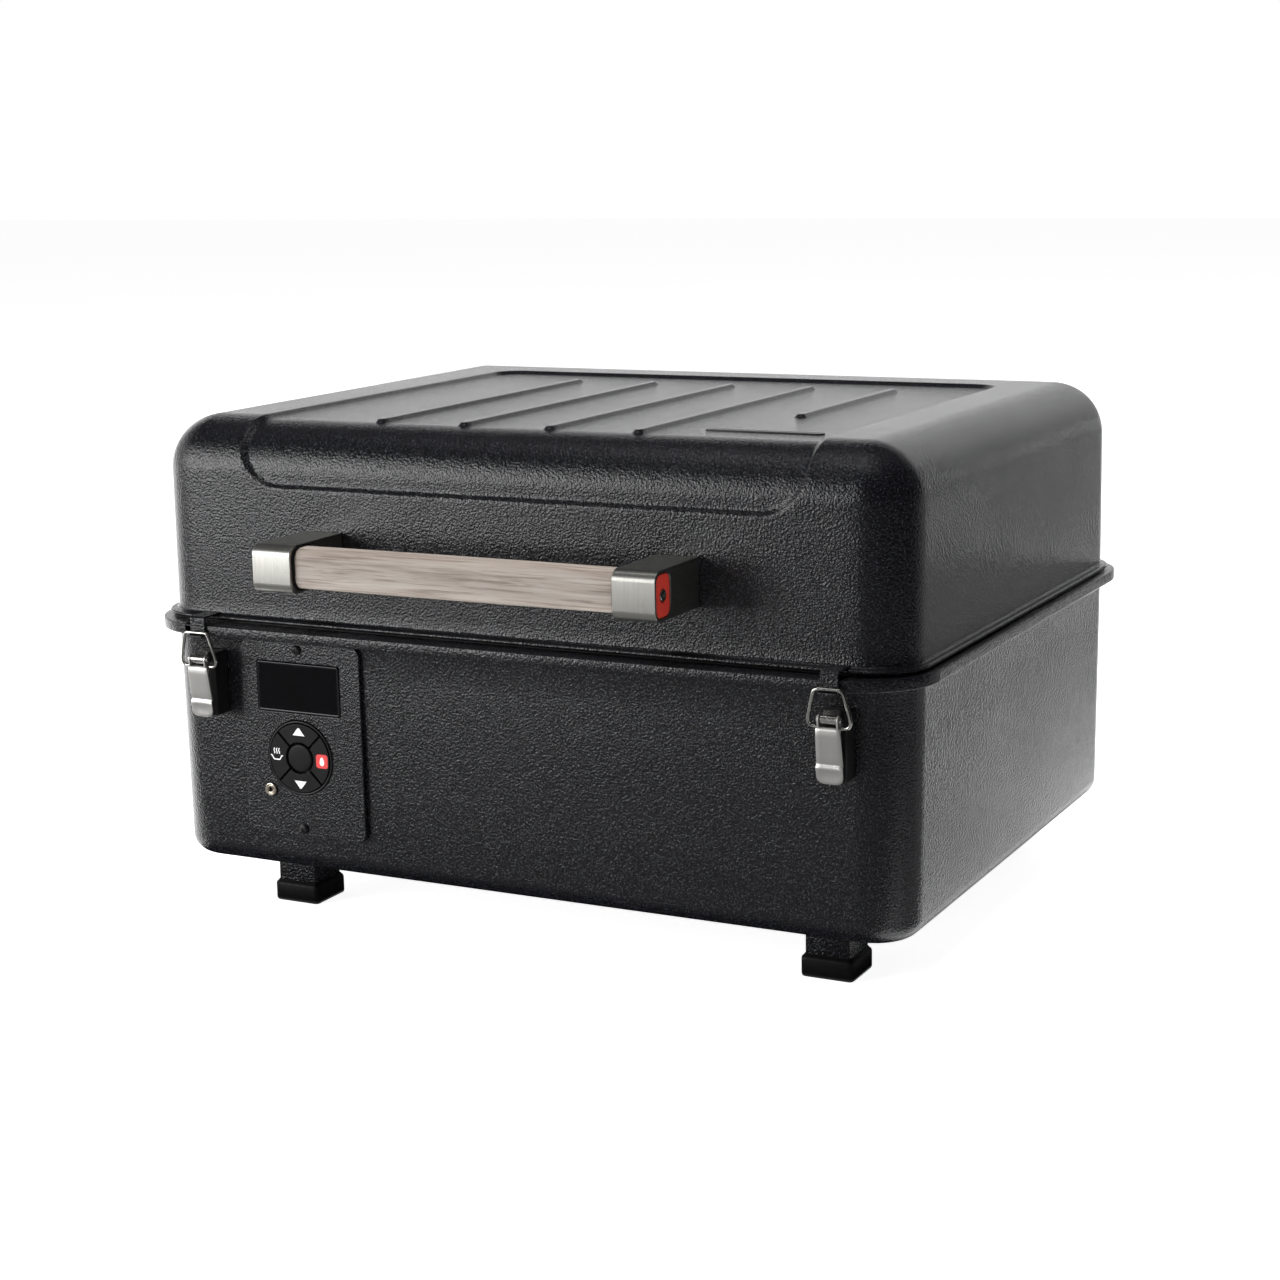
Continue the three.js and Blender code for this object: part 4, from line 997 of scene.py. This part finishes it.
# -------- latches
PIVOT = (-222.5, 175.8)  # (y, z) of the lever's axis
EYE = (-221.9, 171.3)  # of the bail's axis
BAR = (-223.9, 193.2)  # of the bail's top bar
BAIL_R = 1.1
BLOCK = dict(half=8.2, y0=-217, y1=-203.9, z0=137.8, z1=179)
LUG_HALF = 4.8
for side in ("left", "right"):
    base = Box(f"latch_base_{side}")
    X = base.x
    outline = rounded(X - BLOCK["half"], X + BLOCK["half"], BLOCK["z0"], BLOCK["z1"], 1.6, 5)
    block = prism(outline, "y", BLOCK["y0"], BLOCK["y1"])
    dress(
        build(f"latch_block_{side}", [block]), MOULDED, "body", [f"latch_base_{side}"],
        bevel=0.7, segments=3
    )
    lug = prism(
        [(-219.9, 173.6), (-217.2, 173.0), (-217.2, 180.2), (-218.6, 180.2), (-220.8, 177.6)], "x",
        X - LUG_HALF, X + LUG_HALF
    )
    roll = turned(
        [(0, X - 4.8), (2.35, X - 4.8), (2.7, X - 4.5), (2.7, X + 4.5), (2.35, X + 4.8), (0, X + 4.8)], "x",
        PIVOT, 32
    )
    pin = turned(
        [
            (0, X - 7.5), (1.7, X - 7.5), (2.2, X - 7.2), (2.2, X - 6.9), (1.2, X - 6.9), (1.2, X + 6.9),
            (2.2, X + 6.9), (2.2, X + 7.2), (1.7, X + 7.5), (0, X + 7.5)
        ],
        "x", PIVOT, 24
    )
    dress(build(f"latch_barrel_{side}", [lug, roll, pin]), SHINE, "body", angle=40)

    # The lever is a sheet with a stepped, dished finger tab and two cheeks at the pins. Its rows, from the
    # top down, are height, front face, half width and depth of the dish.
    rows = [
        (171.6, -224.2, 6.6, 0), (170.9, -224.9, 7.2, 0), (169.6, -225.2, 7.5, 0), (166, -224.75, 7.7, 0),
        (160, -223.85, 7.85, 0)
    ]
    rows += [
        (154, -222.95, 8.0, 0), (150.2, -222.4, 8.05, 0), (149.5, -222.2, 8.05, 0), (148.7, -222.6, 8.1, 0),
        (147.9, -223.1, 8.15, 0.1)
    ]
    rows += [
        (146.2, -222.95, 8.2, 0.45), (144, -222.65, 8.2, 0.6), (141.8, -222.35, 8.1, 0.55),
        (140, -222.05, 7.5, 0.3), (138.8, -221.75, 6.4, 0.1), (138.2, -221.5, 5.2, 0),
        (137.9, -221.3, 4.2, 0)
    ]
    cols = 14
    fronts, backs = [], []
    for z, y, half, dish in rows:
        for i in range(cols + 1):
            u = 2 * i / cols - 1
            roll_in = 0.35 * max(0.0, abs(u) - 0.82) / 0.18
            yy = y + dish * (1 - u**4) + roll_in
            fronts.append((X + half * u, yy, z))
            backs.append((X + half * u, yy + 1.05, z))
    count = len(fronts)
    w = cols + 1
    faces = []
    for j in range(len(rows) - 1):
        for i in range(cols):
            a = j * w + i
            faces.append((a, a + w, a + w + 1, a + 1))
            faces.append((count + a, count + a + 1, count + a + w + 1, count + a + w))
    last = (len(rows) - 1) * w
    edge = list(range(w)) + [j * w + cols for j in range(1, len(rows))]
    edge += [last + i for i in range(cols - 1, -1, -1)] + [j * w for j in range(len(rows) - 2, 0, -1)]
    faces += [(b, a, a + count, b + count) for a, b in zip(edge, edge[1:] + edge[:1])]
    cheeks = []
    for s in (-1, 1):
        outline = [
            (PIVOT[0] + 3 * math.cos(a), PIVOT[1] + 3 * math.sin(a))
            for a in (math.radians(-10 + 195 * i / 14) for i in range(15))
        ]
        outline += [(-225.0, 172.0), (-223.7, 161.0), (-222.9, 160.4), (-220.6, 168.2), (-219.6, 171.5)]
        cheeks.append(prism(outline, "x", X + s * 5.85 - 0.55, X + s * 5.85 + 0.55))
    dress(
        build(f"latch_strap_{side}", [(fronts + backs, faces)] + cheeks), LEVER, f"lever_{side}",
        [f"latch_lever_{side}"], bevel=0.16, angle=45
    )

    # The bail is a bent wire from one eye up, across and down to the other.
    half_path = [
        (6.9, 0), (9.4, -0.1), (11.5, 0.5), (12.7, 2.2), (12.9, 4.2), (12.4, 7.0), (11.0, 13.0),
        (9.6, 18.4), (8.7, 20.7), (7.0, 21.8), (4.5, 21.9), (0, 21.9)
    ]
    path = half_path + [(-x, z) for x, z in reversed(half_path[:-1])]
    wire_line = []
    for dx, dz, _ in smooth_path([(a, b, 0) for a, b in path], 6):
        y = EYE[0] + (BAR[0] - EYE[0]) * (dz / (BAR[1] - EYE[1]))
        wire_line.append(Vector((X + dx, y, EYE[1] + dz)))
    wire = tube(wire_line, BAIL_R, 14)
    dress(
        build(f"latch_wire_{side}", [wire]), SHINE, f"bail_{side}", [f"latch_bail_{side}"],
        angle=60
    )

    k = Box(f"latch_keeper_{side}")
    outline = [
        (-203.9, 202.2), (-203.9, 203.4), (-221.2, 203.4), (-222.4, 202.2), (-222.4, 191.7),
        (-226.4, 191.7), (-226.4, 190.6), (-221.9, 190.6), (-221.0, 191.5), (-221.0, 202.2)
    ]
    dress(
        build(f"latch_hook_{side}", [prism(outline, "x", k.x0, k.x1)]), COAT, "lid",
        [f"latch_keeper_{side}"], bevel=0.3
    )

# -------- CAD nodes that keep their shape
# Each has a finish and the width of its softened edges.
KEEP = {
    "controller_housing": (MOULDED, 0.6),
    "hopper_bin": (LINING, 0.3),
    "auger_tube": (SOOT, 0.3),
    # The motor and the hopper lid take the black paint lightened as painted fill light.
    "auger_motor": (INSIDE_PAINT_LIT, 0.8),
    "fan_housing": (MOULDED, 0.5),
    "firepot": (SOOT, 0.5),
    "igniter_rod": (LINING, 0.3),
    "chamber_liner": (LINING, 0.4),
    "heat_baffle": (SOOT, 0.4),
    "drip_tray": (LINING, 0.4),
    "grease_cup": (LINING, 0.3),
    "temperature_probe": (SHINE, 0.3),
    "power_inlet": (MOULDED, 0.4),
    "hinge_leaf_shell_left": (PAINT, 0.3),
    "hinge_leaf_shell_right": (PAINT, 0.3),
    "lid_gasket": (RUBBER, 0.25),
    "hinge_leaf_lid_left": (PAINT, 0.3),
    "hinge_leaf_lid_right": (PAINT, 0.3),
    "hopper_lid": (INSIDE_PAINT_LIT, 0.35),
    "auger_screw": (SOOT, 0.0),
    "fan_impeller": (MOULDED, 0.25),
    "power_switch": (MOULDED, 0.5),
    "grill_grate": (IRON, 1.1),
}
for name, (mat, width) in KEEP.items():
    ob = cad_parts[name]
    me = ob.data
    me.materials.clear()
    me.materials.append(mat)
    if "custom_normal" in me.attributes:
        me.attributes.remove(me.attributes["custom_normal"])
    me.shade_smooth()
    weld = ob.modifiers.new("weld", "WELD")
    weld.merge_threshold = 1e-5
    if width:
        b = ob.modifiers.new("edge", "BEVEL")
        b.width = width * MM
        b.segments = 2
        b.limit_method = "ANGLE"
        b.angle_limit = math.radians(38)
        b.harden_normals = True

# -------- stage, light and camera
def sheet_object(name, corners, mat):
    me = bpy.data.meshes.new(name)
    me.from_pydata(corners, [], [(0, 1, 2, 3)])
    ob = bpy.data.objects.new(name, me)
    scene.collection.objects.link(ob)
    me.materials.append(mat)
    return ob


def floor_material():
    m, nodes, links, bsdf = new_material("pale_floor")
    v = coords(nodes, links)
    tone = noise(nodes, links, v, 3.0, 2.0)
    links.new(
        ramp(nodes, links, tone, [(0.3, (0.86, 0.86, 0.86)), (0.7, (0.9, 0.9, 0.9))]),
        bsdf.inputs["Base Color"]
    )
    bsdf.inputs["Roughness"].default_value = 0.9
    bsdf.inputs["Specular IOR Level"].default_value = 0.0
    bsdf.inputs["Emission Color"].default_value = (1, 1, 1, 1)
    bsdf.inputs["Emission Strength"].default_value = 0.92
    return m


def flag_material(name, glow):
    m, nodes, links, bsdf = new_material(name)
    bsdf.inputs["Emission Color"].default_value = (1, 1, 1, 1)
    bsdf.inputs["Emission Strength"].default_value = glow
    v = coords(nodes, links)
    f = noise(nodes, links, v, 40.0, 2.0)
    links.new(ramp(nodes, links, f, [(0.3, 0.002), (0.7, 0.004)]), bsdf.inputs["Base Color"])
    bsdf.inputs["Roughness"].default_value = 1.0
    bsdf.inputs["Specular IOR Level"].default_value = 0.0
    return m


sheet_object("floor", [(-12, -12, 0), (12, -12, 0), (12, 12, 0), (-12, 12, 0)], floor_material())
# The black and dim cards are seen only in reflections: they shade the front and right faces.
flag = flag_material("black_flag", 0.0)
cards = [
    sheet_object(
        "flag_right", [(0.85, -1.3, 0.0), (0.85, 0.45, 0.0), (0.85, 0.45, 1.3), (0.85, -1.3, 1.3)], flag
    ),
    sheet_object(
        "flag_front", [(0.85, -1.3, 0.0), (0.85, -1.3, 1.3), (-0.05, -2.0, 1.3), (-0.05, -2.0, 0.0)], flag
    ),
    sheet_object(
        "flag_low", [(-4, -6, 0.002), (4, -6, 0.002), (4, -0.22, 0.002), (-4, -0.22, 0.002)],
        flag_material("dim_card", 0.22)
    ),
    sheet_object(
        "flag_under", [(-0.3, -0.22, 0.002), (0.25, -0.22, 0.002), (0.25, 0.3, 0.002), (-0.3, 0.3, 0.002)],
        flag
    ),
    sheet_object(
        "card_right", [(0.3, -0.2, 0.002), (4, -0.2, 0.002), (4, 6, 0.002), (0.3, 6, 0.002)],
        flag_material("grey_card", 0.30)
    ),
]
for card in cards:
    card.visible_camera = False
    card.visible_shadow = False
    card.visible_diffuse = False


def softbox(name, at, target, size, power):
    light = bpy.data.lights.new(name, "AREA")
    light.shape = "RECTANGLE"
    light.size, light.size_y = size
    light.energy = power
    ob = bpy.data.objects.new(name, light)
    ob.location = at
    ob.rotation_euler = (Vector(target) - Vector(at)).to_track_quat("-Z", "Y").to_euler()
    scene.collection.objects.link(ob)
    ob.visible_camera = False
    return ob


softbox("softbox_back", (-1.3, 3.0, 0.9), (-0.3, 0, 0.4), (4.8, 2.0), 30)
softbox("softbox_left", (-3.0, 0.4, 0.8), (0, 0, 0.3), (4.0, 1.6), 20)
softbox("softbox_front_left", (-1.45, -1.75, 0.62), (0, 0, 0.3), (1.25, 1.1), 29)
softbox("softbox_overhead", (-0.25, -0.5, 2.2), (0, 0, 0.3), (0.9, 0.6), 3.5)
softbox("softbox_top", (0, 0.1, 2.4), (0, 0.1, 0), (2.0, 2.0), 100).visible_glossy = False

world = bpy.data.worlds.new("studio")
scene.world = world
world.use_nodes = True
wn, wl = world.node_tree.nodes, world.node_tree.links
dim = wn["Background"]
dim.inputs["Color"].default_value = (1, 1, 1, 1)
dim.inputs["Strength"].default_value = 0.06
white = wn.new("ShaderNodeBackground")
white.inputs["Color"].default_value = (1, 1, 1, 1)
white.inputs["Strength"].default_value = 1.0
seen = wn.new("ShaderNodeLightPath")
blend = wn.new("ShaderNodeMixShader")
wl.new(seen.outputs["Is Camera Ray"], blend.inputs["Fac"])
wl.new(dim.outputs[0], blend.inputs[1])
wl.new(white.outputs[0], blend.inputs[2])
wl.new(blend.outputs[0], wn["World Output"].inputs["Surface"])
scene.view_settings.view_transform = "Standard"

# The camera as measured from the photo; the lens is in millimetres for a 36 mm sensor.
YAW, PITCH, ROLL = math.radians(27.03), math.radians(11.60), math.radians(-1.07)
CAMERA_AT = (0.73477, -1.46304 + SHIFT * MM, 0.4982 + LIFT * MM)
ahead = Vector((-math.sin(YAW) * math.cos(PITCH), math.cos(YAW) * math.cos(PITCH), -math.sin(PITCH)))
right = Vector((math.cos(YAW), math.sin(YAW), 0))
up = right.cross(ahead)
right2 = right * math.cos(ROLL) + up * math.sin(ROLL)
up2 = up * math.cos(ROLL) - right * math.sin(ROLL)
camera = bpy.data.cameras.new("camera")
camera.lens = 69.24
camera.sensor_width = 36
camera.clip_start, camera.clip_end = 0.05, 60
cam = bpy.data.objects.new("camera", camera)
m = Matrix((right2, up2, -ahead)).transposed().to_4x4()
m.translation = Vector(CAMERA_AT)
cam.matrix_world = m
scene.collection.objects.link(cam)
scene.camera = cam
